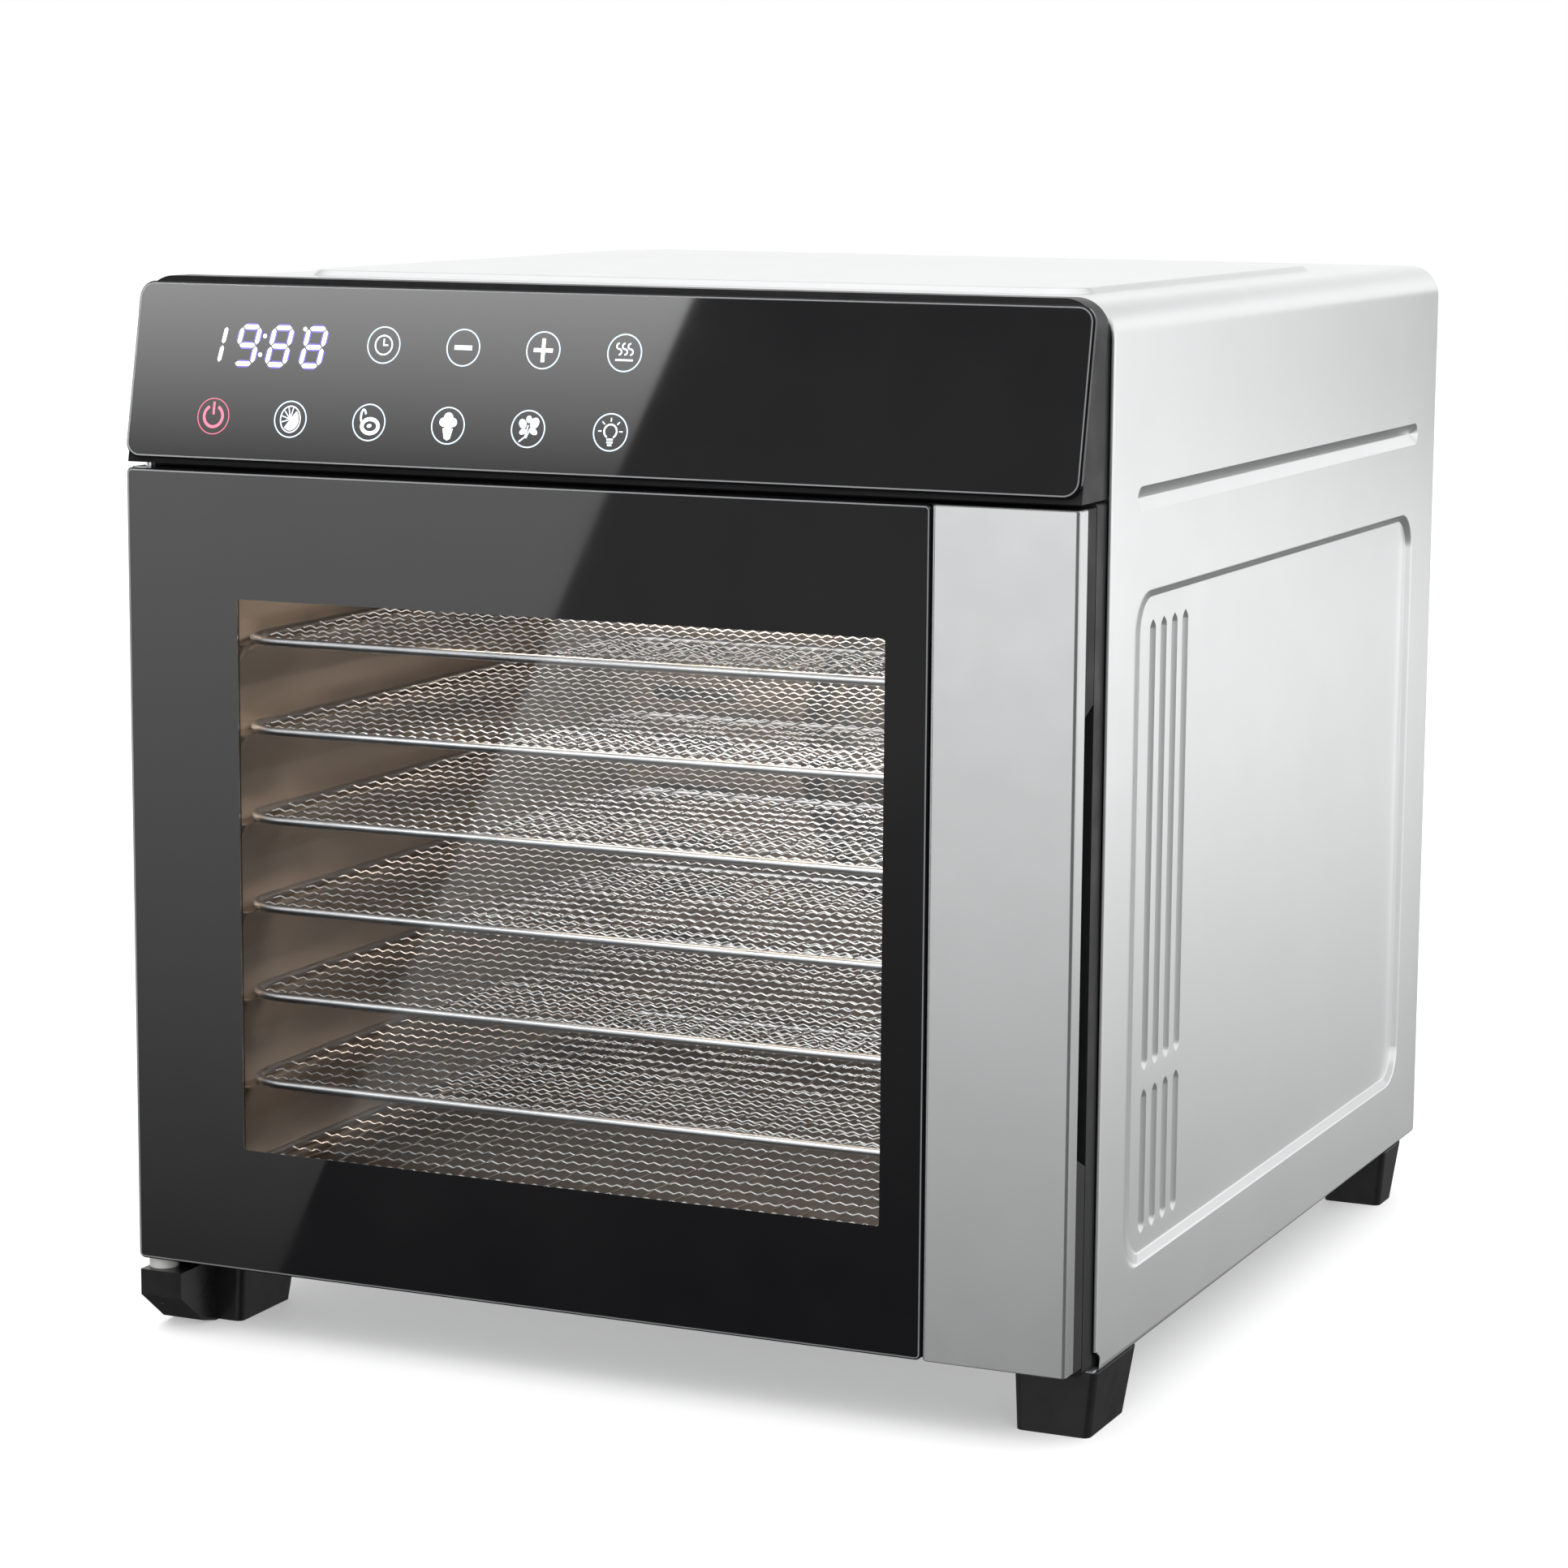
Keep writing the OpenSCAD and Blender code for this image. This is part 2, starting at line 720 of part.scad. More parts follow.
module door_frame() {
    inner_x = front_half - strip_t;
    color("#202020") in_case() difference() {
        union() {
            translate([0, 0, door_z0]) linear_extrude(door_z1 - door_z0) door_plan();
            block([strip_x + strip_gap + strip_t, door_front_y + strip_t, door_z0],
                [inner_x, door_plate_y + 1, door_z1]);
        }
        block([inner_x, door_front_y, door_z0 - 1], [half, edge_y, door_z1 + 1]);
        block([strip_x, door_front_y, door_z0 - 1],
            [strip_x + strip_gap + strip_t, door_plate_y, door_z1 + 1]);
        along_y(door_front_y, 0) round_rect([window_x0 - window_back, window_x1 + window_back],
            [window_z0 - window_back, window_z1 + window_back], 2);
        along_x(front_half - grip_depth, half)
            polygon([[edge_y, grip_z[0] + 8], [edge_y, grip_z[1] - 8], [0, grip_z[1]], [0, grip_z[0]]]);
        along_y(gasket_y[0], 0) gasket_ring();
        door_magnet_blocks();
        for (z = [door_z0 - 1, door_z1 - pin_depth]) translate([pivot[0], pivot[1], z])
            cylinder(r = pin_r + pin_gap, h = pin_depth + 1);
    }
}

module gasket_ring() {
    difference() {
        round_rect([-gasket_half, gasket_half], gasket_z, 5);
        round_rect([-gasket_half + gasket_w, gasket_half - gasket_w], gasket_z + [gasket_w, -gasket_w], 3);
    }
}

module door_magnet_blocks() {
    for (z = magnet_z) block([magnet_x - magnet_size[0] / 2, door_rear_y - magnet_size[1], z],
        [magnet_x + magnet_size[0] / 2, door_rear_y, z + magnet_size[2]]);
}

module door_glass() {
    color("gray", 0.5) in_case() along_y(door_front_y, door_plate_y)
        round_rect([-front_half, strip_x], [door_z0, door_z1], 2);
}

module door_strip() {
    x0 = strip_x + strip_gap;
    color("silver") in_case() {
        block([x0, door_front_y, door_z0], [front_half, door_front_y + strip_t, door_z1]);
        block([x0, door_front_y, door_z0], [x0 + strip_t, door_plate_y, door_z1]);
        block([front_half - strip_t, door_front_y, door_z0], [front_half, edge_y, door_z1]);
    }
}

module door_gasket() {
    color("dimgray") in_case() along_y(gasket_y[0], gasket_y[1]) gasket_ring();
}

module door_magnets() {
    color("lightgray") in_case() door_magnet_blocks();
}

// ---- Trays ----

// The rod centre line lies rod_d / 2 inside the tray's outline
module tray(i) {
    x = tray_half - rod_d / 2;
    y = [tray_y + rod_d / 2, tray_y + tray_d - rod_d / 2];
    r = tray_corner_r;
    cell = [(2 * x - mesh_bar) / mesh_cells[0], (y[1] - y[0] - mesh_bar) / mesh_cells[1]];
    color("lightgray") in_case() translate([0, 0, tray_z(i)]) {
        for (s = [0, 1]) {
            translate([-x + r, y[s], 0]) rotate([0, 90, 0]) cylinder(d = rod_d, h = 2 * x - 2 * r);
            translate([(2 * s - 1) * x, y[0] + r, 0]) rotate([-90, 0, 0])
                cylinder(d = rod_d, h = y[1] - y[0] - 2 * r);
        }
        for (s = [[1, 1, 0], [-1, 1, 90], [-1, -1, 180], [1, -1, 270]])
            translate([s[0] * (x - r), (y[0] + y[1]) / 2 + s[1] * ((y[1] - y[0]) / 2 - r), 0])
                rotate([0, 0, s[2]]) rotate_extrude(angle = 90) translate([r, 0]) circle(d = rod_d);
        translate([0, 0, -mesh_t / 2]) linear_extrude(mesh_t) difference() {
            round_rect([-x, x], y, r);
            intersection() {
                union() for (a = [0:mesh_cells[0] - 1], b = [0:mesh_cells[1] - 1])
                    translate([-x + mesh_bar + a * cell[0], y[0] + mesh_bar + b * cell[1]])
                        square(cell - [mesh_bar, mesh_bar]);
                round_rect([-x + mesh_bar, x - mesh_bar], y + [mesh_bar, -mesh_bar], r - mesh_bar);
            }
        }
    }
}

outer_wrap();
base_pan();
rear_panel();
rear_panel_screws();
front_frame();
catch_plates();
liner_left();
liner_right();
liner_top();
liner_floor();
liner_back();
tray_rails_left();
tray_rails_right();
fan_guard();
fan_guard_screws();
fan_housing();
fan_motor();
motor_shaft();
fan_impeller();
fan_nut();
heater_element();
heater_posts();
thermal_cutout();
temperature_sensor();
lamp_holder();
lamp_bulb();
lamp_cover();
control_housing();
control_glass();
control_board();
display_module();
touch_pads();
power_board();
power_board_parts();
inlet_socket();
inlet_pins();
foot_front_left();
foot_front_right();
foot_rear_left();
foot_rear_right();
foot_screws();
hinge_pin_lower();
hinge_washer();
hinge_pin_upper();
door_frame();
door_glass();
door_strip();
door_gasket();
door_magnets();
tray(0);  // tray_1
tray(1);  // tray_2
tray(2);  // tray_3
tray(3);  // tray_4
tray(4);  // tray_5
tray(5);  // tray_6
tray(6);  // tray_7
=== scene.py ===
"""Looks of the tray food dehydrator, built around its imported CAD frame.

Sizes are millimetres in the case's own frame, where y = 0 is the front edge of the steel case,
until point() turns them into metres of the row frame.
"""
import math

import bmesh
import bpy
from mathutils import Matrix, Vector
from mathutils.geometry import tessellate_polygon


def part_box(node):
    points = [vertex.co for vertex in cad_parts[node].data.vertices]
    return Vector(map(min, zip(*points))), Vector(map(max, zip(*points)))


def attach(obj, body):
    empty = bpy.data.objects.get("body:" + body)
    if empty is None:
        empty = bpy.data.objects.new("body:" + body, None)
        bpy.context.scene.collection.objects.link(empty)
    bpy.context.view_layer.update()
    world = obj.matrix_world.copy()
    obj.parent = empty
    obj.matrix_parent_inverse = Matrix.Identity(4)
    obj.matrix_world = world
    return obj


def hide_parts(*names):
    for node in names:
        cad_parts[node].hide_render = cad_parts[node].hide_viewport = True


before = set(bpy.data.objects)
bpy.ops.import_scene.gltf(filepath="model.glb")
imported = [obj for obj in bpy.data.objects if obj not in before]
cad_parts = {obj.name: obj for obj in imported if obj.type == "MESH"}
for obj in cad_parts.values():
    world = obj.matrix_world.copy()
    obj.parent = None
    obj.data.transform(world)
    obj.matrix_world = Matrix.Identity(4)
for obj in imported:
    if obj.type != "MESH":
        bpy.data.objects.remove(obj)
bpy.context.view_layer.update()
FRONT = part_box("outer_wrap")[0].y


def point(x, y, z):
    """A place in millimetres of the case frame, as metres of the row frame."""
    return Vector((x, y + FRONT * 1000, z)) / 1000


def at_angle(degrees, rx, ry=None):
    """A point of an ellipse round the origin."""
    a = math.radians(degrees)
    return rx * math.cos(a), (rx if ry is None else ry) * math.sin(a)


def span(node):
    """The box of a CAD node as ranges along x, y and z."""
    lo, hi = (p * 1000 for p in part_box(node))
    shift = FRONT * 1000
    return (lo.x, hi.x), (lo.y - shift, hi.y - shift), (lo.z, hi.z)


# ---- Materials ----


class Finish:
    """A Principled material to which procedural layers are added one by one."""

    def __init__(self, name, colour, rough, metal=0.0, **sockets):
        self.material = bpy.data.materials.new(name)
        self.material.use_nodes = True
        tree = self.material.node_tree
        self.nodes, self.links = tree.nodes, tree.links
        self.shader = self.nodes["Principled BSDF"]
        self.colour = (*colour, 1)
        self.shader.inputs["Base Color"].default_value = self.colour
        self.shader.inputs["Roughness"].default_value = rough
        self.shader.inputs["Metallic"].default_value = metal
        for socket, value in sockets.items():
            self.shader.inputs[socket.replace("_", " ")].default_value = value
        self.where = self.nodes.new("ShaderNodeTexCoord").outputs["Object"]
        self.relief = None

    def noise(self, size, stretch=(1, 1, 1), detail=2.0):
        """Noise whose spots measure about size, times stretch along each axis."""
        mapping = self.nodes.new("ShaderNodeMapping")
        mapping.inputs["Scale"].default_value = [1000 / size / s for s in stretch]
        texture = self.nodes.new("ShaderNodeTexNoise")
        texture.inputs["Scale"].default_value = 1.0
        texture.inputs["Detail"].default_value = detail
        self.links.new(self.where, mapping.inputs["Vector"])
        self.links.new(mapping.outputs["Vector"], texture.inputs["Vector"])
        return texture.outputs["Fac"]

    def cells(self, size, metric="CHEBYCHEV"):
        """Distance inside square or round cells of that size."""
        mapping = self.nodes.new("ShaderNodeMapping")
        mapping.inputs["Scale"].default_value = [1000 / size] * 3
        texture = self.nodes.new("ShaderNodeTexVoronoi")
        texture.distance = metric
        texture.inputs["Scale"].default_value = 1.0
        self.links.new(self.where, mapping.inputs["Vector"])
        self.links.new(mapping.outputs["Vector"], texture.inputs["Vector"])
        return texture.outputs["Distance"]

    def ranged(self, value, low, high):
        """Stretches the middle of a noise's range to low and high."""
        node = self.nodes.new("ShaderNodeMapRange")
        node.inputs["From Min"].default_value = 0.3
        node.inputs["From Max"].default_value = 0.7
        node.inputs["To Min"].default_value = low
        node.inputs["To Max"].default_value = high
        self.links.new(value, node.inputs["Value"])
        return node.outputs["Result"]

    def mottle(self, value, other, share=1.0, socket="Base Color"):
        """Blends the colour towards another one where the value is high."""
        mix = self.nodes.new("ShaderNodeMix")
        mix.data_type = "RGBA"
        mix.inputs["A"].default_value = self.colour
        mix.inputs["B"].default_value = (*other, 1)
        self.links.new(self.ranged(value, 0.0, share), mix.inputs["Factor"])
        self.links.new(mix.outputs["Result"], self.shader.inputs[socket])
        return self

    def polish(self, value, low, high):
        """Roughness between low and high."""
        self.links.new(self.ranged(value, low, high), self.shader.inputs["Roughness"])
        return self

    def bump(self, value, height):
        """Relief of that height in millimetres, on top of earlier relief."""
        node = self.nodes.new("ShaderNodeBump")
        node.inputs["Strength"].default_value = 0.5
        node.inputs["Distance"].default_value = height / 1000
        self.links.new(value, node.inputs["Height"])
        if self.relief:
            self.links.new(self.relief, node.inputs["Normal"])
        self.relief = node.outputs["Normal"]
        self.links.new(self.relief, self.shader.inputs["Normal"])
        return self

    def pane(self, index, tint):
        """Thin clear glass: light goes straight through, and the material is only its mirror image."""
        fresnel, clear = self.nodes.new("ShaderNodeFresnel"), self.nodes.new("ShaderNodeBsdfTransparent")
        mix = self.nodes.new("ShaderNodeMixShader")
        fresnel.inputs["IOR"].default_value = index
        clear.inputs["Color"].default_value = (*tint, 1)
        self.links.new(fresnel.outputs["Fac"], mix.inputs["Fac"])
        self.links.new(clear.outputs["BSDF"], mix.inputs[1])
        self.links.new(self.shader.outputs["BSDF"], mix.inputs[2])
        self.links.new(mix.outputs["Shader"], self.nodes["Material Output"].inputs["Surface"])
        return self


def metal(name, colour, rough, streak=(1, 1, 1), grain=0.5, height=0.006, amount=0.95, dull=0.93,
          uneven=0.12):
    """Sheet or wire metal: colour clouds, uneven polish and a fine grain that may run one way."""
    f = Finish(name, colour, rough, amount)
    f.mottle(f.noise(45, detail=3.0), [c * dull for c in colour])
    f.polish(f.noise(18, detail=3.0), rough * (1 - uneven), rough * (1 + uneven))
    f.bump(f.noise(grain, streak), height)
    return f


def plastic(name, colour, rough, grain=0.5, height=0.02, fleck=1.35):
    """Moulded plastic: a fine spark-eroded grain, slight flecks and uneven gloss."""
    f = Finish(name, colour, rough)
    f.mottle(f.noise(6, detail=4.0), [min(c * fleck, 1) for c in colour])
    f.polish(f.noise(12), rough * 0.85, rough * 1.15)
    f.bump(f.cells(grain, "EUCLIDEAN"), height)
    return f


def lit(name, colour, strength):
    """A printed symbol lit from behind."""
    f = Finish(name, colour, 0.4, Emission_Strength=strength)
    f.shader.inputs["Emission Color"].default_value = f.colour
    f.mottle(f.noise(1.5), [c * 0.9 for c in colour], socket="Emission Color")
    return f


case_steel = metal("case_steel", (0.82, 0.825, 0.83), 0.3, grain=0.35, height=0.003, amount=0.75,
                   dull=0.98, uneven=0.04)
strip_steel = metal("strip_steel", (0.625, 0.63, 0.635), 0.25, (0.5, 0.5, 8), 0.3, 0.004, 0.85, 0.97, 0.06)
# Liner steel of the side walls, warmer and darker than bare steel: its grain and clouds are its own, its
# warm dim tone is painted warm shade of the cavity.
liner_steel = metal("liner_steel", (0.56, 0.5, 0.45), 0.42, (1, 9, 1), 0.4, 0.004)
# The same liner steel, much darker and browner: painted shade of the deep cavity behind the trays.
painted_deep_shade_liner = metal("painted_deep_shade_liner", (0.38, 0.32, 0.28), 0.42, (9, 1, 1), 0.4, 0.004)
zinc_sheet = metal("zinc_sheet", (0.62, 0.64, 0.66), 0.45, grain=0.8, height=0.01, dull=0.85)
zinc_sheet.mottle(zinc_sheet.cells(9, "EUCLIDEAN"), (0.54, 0.56, 0.59), 0.45)
screw_steel = metal("screw_steel", (0.5, 0.5, 0.52), 0.35, grain=0.3)
pin_steel = metal("pin_steel", (0.75, 0.75, 0.77), 0.2, (1, 1, 0.3), 0.4)
tray_rod = metal("tray_rod", (0.55, 0.555, 0.58), 0.3, (4, 4, 1), 0.4, 0.002, 1.0)
tray_wire = metal("tray_wire", (0.66, 0.655, 0.66), 0.24, (4, 4, 1), 0.4, 0.002, 1.0)
motor_steel = metal("motor_steel", (0.42, 0.44, 0.46), 0.4, grain=0.6)
impeller_alloy = metal("impeller_alloy", (0.66, 0.67, 0.68), 0.38, (6, 1, 1), 0.4)
heater_tube = metal("heater_tube", (0.32, 0.25, 0.2), 0.45, grain=1.2, height=0.03, dull=0.6)
magnet = metal("magnet", (0.55, 0.55, 0.56), 0.3, grain=0.6)

frame_plastic = plastic("frame_plastic", (0.012, 0.012, 0.013), 0.38, 0.7)
frame_plastic.shader.inputs["Specular IOR Level"].default_value = 0.2
housing_plastic = plastic("housing_plastic", (0.016, 0.016, 0.017), 0.34, 0.6, 0.008)
housing_plastic.shader.inputs["Specular IOR Level"].default_value = 0.12
door_plastic = plastic("door_plastic", (0.03, 0.03, 0.031), 0.5, 0.9, 0.05)
door_plastic.shader.inputs["Specular IOR Level"].default_value = 0.15
foot_plastic = plastic("foot_plastic", (0.012, 0.012, 0.012), 0.3, 0.6, 0.012)
inlet_plastic = plastic("inlet_plastic", (0.015, 0.015, 0.016), 0.4, 0.6)
seal_rubber = plastic("seal_rubber", (0.06, 0.058, 0.055), 0.7, 0.4, 0.04)
washer_plastic = plastic("washer_plastic", (0.7, 0.7, 0.68), 0.45, 0.5, 0.01, 1.1)
ceramic_white = plastic("ceramic_white", (0.78, 0.75, 0.68), 0.5, 0.4, 0.02, 1.08)
display_body = plastic("display_body", (0.02, 0.02, 0.02), 0.35)
electronics = plastic("electronics", (0.03, 0.035, 0.04), 0.45, 2.0, 0.05, 2.5)

circuit_board = Finish("circuit_board", (0.015, 0.09, 0.035), 0.35)
circuit_board.mottle(circuit_board.cells(3.5), (0.03, 0.17, 0.06))
circuit_board.polish(circuit_board.noise(5), 0.3, 0.45)
circuit_board.bump(circuit_board.cells(3.5), 0.04)
pad_brass = metal("pad_brass", (0.72, 0.56, 0.28), 0.3, grain=0.5)

black_glass = Finish("black_glass", (0.006, 0.006, 0.007), 0.03, IOR=1.25)
black_glass.mottle(black_glass.noise(30), (0.008, 0.008, 0.009))
black_glass.polish(black_glass.noise(60, detail=4.0), 0.02, 0.05)
glass_edge = plastic("glass_edge", (0.2, 0.205, 0.21), 0.4, 0.5, 0.01, 1.1)
clear_glass = Finish("clear_glass", (0.95, 0.955, 0.955), 0.02, 1.0)
clear_glass.mottle(clear_glass.noise(80), (0.93, 0.94, 0.94))
clear_glass.polish(clear_glass.noise(40, detail=4.0), 0.01, 0.03)
clear_glass.pane(1.4, (0.975, 0.985, 0.98))
lamp_glass = Finish("lamp_glass", (0.95, 0.93, 0.88), 0.35, IOR=1.45)
lamp_glass.shader.inputs["Transmission Weight"].default_value = 0.85
lamp_glass.mottle(lamp_glass.noise(8), (0.9, 0.86, 0.78))
lamp_glass.bump(lamp_glass.cells(2.5, "EUCLIDEAN"), 0.15)
bulb_glass = lit("bulb_glass", (1.0, 0.72, 0.42), 6.0)
symbol_white = lit("symbol_white", (0.86, 0.92, 1.0), 0.95)
symbol_ring = lit("symbol_ring", (0.66, 0.82, 0.95), 0.8)
symbol_red = lit("symbol_red", (1.0, 0.22, 0.32), 0.75)
digit_white = lit("digit_white", (0.93, 0.95, 1.0), 1.1)
digit_glow = lit("digit_glow", (0.24, 0.2, 0.85), 0.6)


# ---- Mesh helpers ----


def piece(name, bm, finishes, body, replaces=(), sheet=0.0, sharp=30):
    """Turns a bmesh in millimetres of the case frame into a piece that rides on a body."""
    bmesh.ops.remove_doubles(bm, verts=bm.verts, dist=0.001)
    mesh = bpy.data.meshes.new(name)
    bm.to_mesh(mesh)
    bm.free()
    mesh_piece(name, mesh, finishes, body, replaces, sheet, sharp)


def mesh_piece(name, mesh, finishes, body, replaces=(), sheet=0.0, sharp=30):
    """Gives a mesh in millimetres its place, its finishes, a sheet thickness and the body it rides on."""
    mesh.transform(Matrix.Translation((0, FRONT, 0)) @ Matrix.Scale(0.001, 4))
    for finish in finishes:
        mesh.materials.append(finish.material)
    mesh.shade_smooth()
    mesh.set_sharp_from_angle(angle=math.radians(sharp))
    obj = bpy.data.objects.new(name, mesh)
    bpy.context.scene.collection.objects.link(obj)
    if sheet:
        solid = obj.modifiers.new("sheet", "SOLIDIFY")
        solid.thickness = sheet / 1000
        solid.offset = -1
    soften(obj)
    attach(obj, body)
    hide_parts(*replaces)
    return obj


def soften(obj, bevel=0.0):
    """Rounds the edges a little, and keeps the flat faces flat in shading."""
    if bevel:
        edge = obj.modifiers.new("edges", "BEVEL")
        edge.width = bevel / 1000
        edge.segments = 2
        edge.limit_method = "ANGLE"
        edge.angle_limit = math.radians(40)
    obj.modifiers.new("shading", "WEIGHTED_NORMAL").keep_sharp = True


def dress(finish, *nodes, bevel=0.25):
    """Gives CAD nodes a finish and small edge radii."""
    for node in nodes:
        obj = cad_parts[node]
        obj.data.materials.clear()
        obj.data.materials.append(finish.material)
        weld = obj.modifiers.new("weld", "WELD")
        weld.merge_threshold = 1e-6
        soften(obj, bevel)


def skin(bm, first, second, closed=True, flip=False, material=0):
    """Faces between two rows of vertices."""
    count = len(first)
    for i in range(count if closed else count - 1):
        j = (i + 1) % count
        corner = (first[i], first[j], second[j], second[i])
        face = bm.faces.new(corner[::-1] if flip else corner)
        face.material_index = material


def loft(bm, rings, closed=True, flip=False):
    """Skins rings of points, each as long as the one before; returns the rows of vertices."""
    rows = [[bm.verts.new(p) for p in ring] for ring in rings]
    for a, b in zip(rows, rows[1:]):
        skin(bm, a, b, closed, flip)
    return rows


def rounded(u, v, r, steps=7):
    """Outline of a rectangle between two ranges, with round corners, anticlockwise."""
    left, right, low, high = u[0] + r, u[1] - r, v[0] + r, v[1] - r
    outline = []
    for cu, cv, start in ((right, high, 0), (left, high, 90), (left, low, 180), (right, low, 270)):
        for i in range(steps + 1):
            du, dv = at_angle(start + 90 * i / steps, r)
            outline.append((cu + du, cv + dv))
    return outline


def slot_ring(u, v, r, steps=7):
    """Rounded rectangle as a function of how far it is inset."""
    return lambda d: rounded((u[0] + d, u[1] - d), (v[0] + d, v[1] - d), max(r - d, 0.08), steps)


def flute_ring(centre, half, v, tip):
    """Long groove with pointed ends, as a function of its inset."""
    steps = 5

    def ring(d):
        k = half - d
        t = tip * k / half
        low, high = v[0] + d + t, v[1] - d - t
        out = [(k * (1 - (i / steps) ** 2), t * i / steps) for i in range(steps + 1)]
        back = out[-2::-1]
        top = [(centre + a, high + b) for a, b in out] + [(centre - a, high + b) for a, b in back]
        bottom = [(centre - a, low - b) for a, b in out] + [(centre + a, low - b) for a, b in back]
        return top + bottom
    return ring


def fill(bm, loops, flip=False):
    """Flat face between an outline and its holes. A loop is (its 2D points, its vertices)."""
    flat = [p for ring, _ in loops for p in ring]
    verts = [v for _, row in loops for v in row]
    for a, b, c in tessellate_polygon([[Vector((*p, 0)) for p in ring] for ring, _ in loops]):
        (ax, ay), (bx, by), (cx, cy) = flat[a], flat[b], flat[c]
        clockwise = (bx - ax) * (cy - ay) - (cx - ax) * (by - ay) < 0
        corner = [verts[a], verts[b], verts[c]]
        bm.faces.new(corner[::-1] if clockwise != flip else corner)


def pressed(bm, place, rim, pressings, base=0.0, flip=False):
    """Flat sheet inside rim with pressings (ring function, [(inset, depth), ...], nested pressings)."""
    loops = [rim]
    for ring, profile, nested in pressings:
        rows = []
        for inset, depth in profile:
            outline = ring(inset)
            rows.append((outline, [bm.verts.new(place(u, v, base + depth)) for u, v in outline]))
        for (_, a), (_, b) in zip(rows, rows[1:]):
            skin(bm, a, b, flip=flip)
        loops.append(rows[0])
        pressed(bm, place, rows[-1], nested, base + profile[-1][1], flip)
    fill(bm, loops, flip)


def prism(bm, outline, place, low, high):
    """Closed prism over a flat outline, between two heights of place(u, v, height)."""
    ring = [tuple(p) for p in outline]
    rows = [(ring, [bm.verts.new(place(u, v, n)) for u, v in ring]) for n in (low, high)]
    skin(bm, rows[0][1], rows[1][1])
    fill(bm, [rows[0]], flip=True)
    fill(bm, [rows[1]])


# ---- Steel case ----

(_, CASE_X), (_, CASE_D), (CASE_Z0, _) = span("outer_wrap")
CASE_Z1 = 358.0
# Radius of the fold between the top and a side
FOLD = 11.0
FOLD_STEPS = 8
# Width of the rolled edge at the front and rear, and the height where the front one ends
EDGE = 1.2
HEM_Z = 28.5
FLANGE_Y = span("rear_panel")[1][0]
BOTTOM = CASE_Z0 + 0.9


def arch(inset, low=BOTTOM):
    """Section of the wrap, from the bottom of the left side over the top to the right side."""
    r = max(FOLD - inset, 2.0)
    w, top = CASE_X - inset, CASE_Z1 - inset
    fold = [at_angle(90 - 90 * i / FOLD_STEPS, r) for i in range(FOLD_STEPS + 1)]
    right = [(w - r + dx, top - r + dz) for dx, dz in fold]
    left = [(-x, z) for x, z in right[::-1]]
    return [(-w, low)] + left + right + [(w, low)]


def build_wrap():
    """Pressed steel sheet over the top and both sides. A pressing's section is (inset, depth) pairs."""
    bm = bmesh.new()
    near, far = EDGE, CASE_D - EDGE
    straight = CASE_Z1 - FOLD
    slope = [(0, 0), (0.35, 0.03), (0.7, 0.14), (1.05, 0.38), (2.5, 1.72), (2.8, 1.94), (3.1, 2.0)]
    groove = [(0, 0), (0.15, 0.05), (0.35, 0.17), (3.9, 2.02), (4.0, 2.05)]
    flute = [(0, 0), (0.1, 0.06), (0.25, 0.24), (1.9, 1.8), (2.4, 2.0)]
    first, pitch, half, tip = 46.3, 10.6, 3.0, 3.4
    flutes = [(flute_ring(first + pitch * i, half, z, tip), flute, [])
              for i in range(4) for z in ((56, 104), (110, 256.5))]

    def recess(d):
        """The recess slopes gently at its front end, so that the slope shows."""
        return rounded((22.2 + 4 * d, 336.9 - d), (47.2 + d, 267.0 - d), 14.0 - d)

    pressings = [(recess, slope, flutes),
                 (slot_ring((23.7, 340.2), (292.0, 300.2), 4.08), groove, [])]
    heel = 3.3
    notch = [(1.5, 27.7), (2.6, 27.2), (3.6, 26.3), (4.0, 25.0), (3.8, 23.6)]
    side = [(heel, BOTTOM), (far, BOTTOM), (far, straight), (near, straight), (near, HEM_Z)] + notch
    for sign in (1, -1):
        def place(u, v, depth, sign=sign):
            return sign * (CASE_X - depth), u, v
        rim = (side, [bm.verts.new(place(u, v, 0)) for u, v in side])
        pressed(bm, place, rim, pressings, flip=sign < 0)
        curl = [(CASE_X, BOTTOM), (CASE_X - 0.25, CASE_Z0 + 0.35), (CASE_X - 0.9, CASE_Z0 + 0.1)]
        loft(bm, [[(sign * x, heel, z), (sign * x, far, z)] for x, z in curl], closed=False, flip=sign > 0)
    w = CASE_X - FOLD
    field = [(0, 0), (0.4, -0.1), (0.9, -0.4), (2.2, -1.6), (2.7, -1.9), (3.2, -2.0)]
    top = [(-w, near), (w, near), (w, far), (-w, far)]
    rim = (top, [bm.verts.new((x, y, CASE_Z1)) for x, y in top])
    raised = slot_ring((-143, 143), (44, 298), 14.0)
    pressed(bm, lambda u, v, d: (u, v, CASE_Z1 - d), rim, [(raised, field, [])])
    section = arch(0)
    for corner in (section[-FOLD_STEPS - 2:-1], section[1:FOLD_STEPS + 2]):
        loft(bm, [[(x, near, z) for x, z in corner], [(x, far, z) for x, z in corner]], closed=False)
    roll = [(0.0, EDGE), (0.06, 0.6), (0.3, 0.16), (0.7, 0.0), (1.1, 0.16), (1.34, 0.6), (1.4, EDGE)]
    front = roll + [(1.4, 10.0)]
    loft(bm, [[(x, y, z) for x, z in arch(d, low=HEM_Z)] for d, y in front], closed=False, flip=True)
    rear = [(0.0, far), (0.06, far + 0.6), (0.3, CASE_D - 0.16), (0.7, CASE_D), (1.1, CASE_D - 0.16),
            (1.34, far + 0.6), (1.4, far), (1.5, FLANGE_Y + 0.6), (1.9, FLANGE_Y - 0.05),
            (12.0, FLANGE_Y - 0.05)]
    loft(bm, [[(x, y, z) for x, z in arch(d)] for d, y in rear], closed=False)
    piece("case_wrap", bm, [case_steel], "case", ["outer_wrap"], sheet=0.5, sharp=38)


# ---- Control panel ----

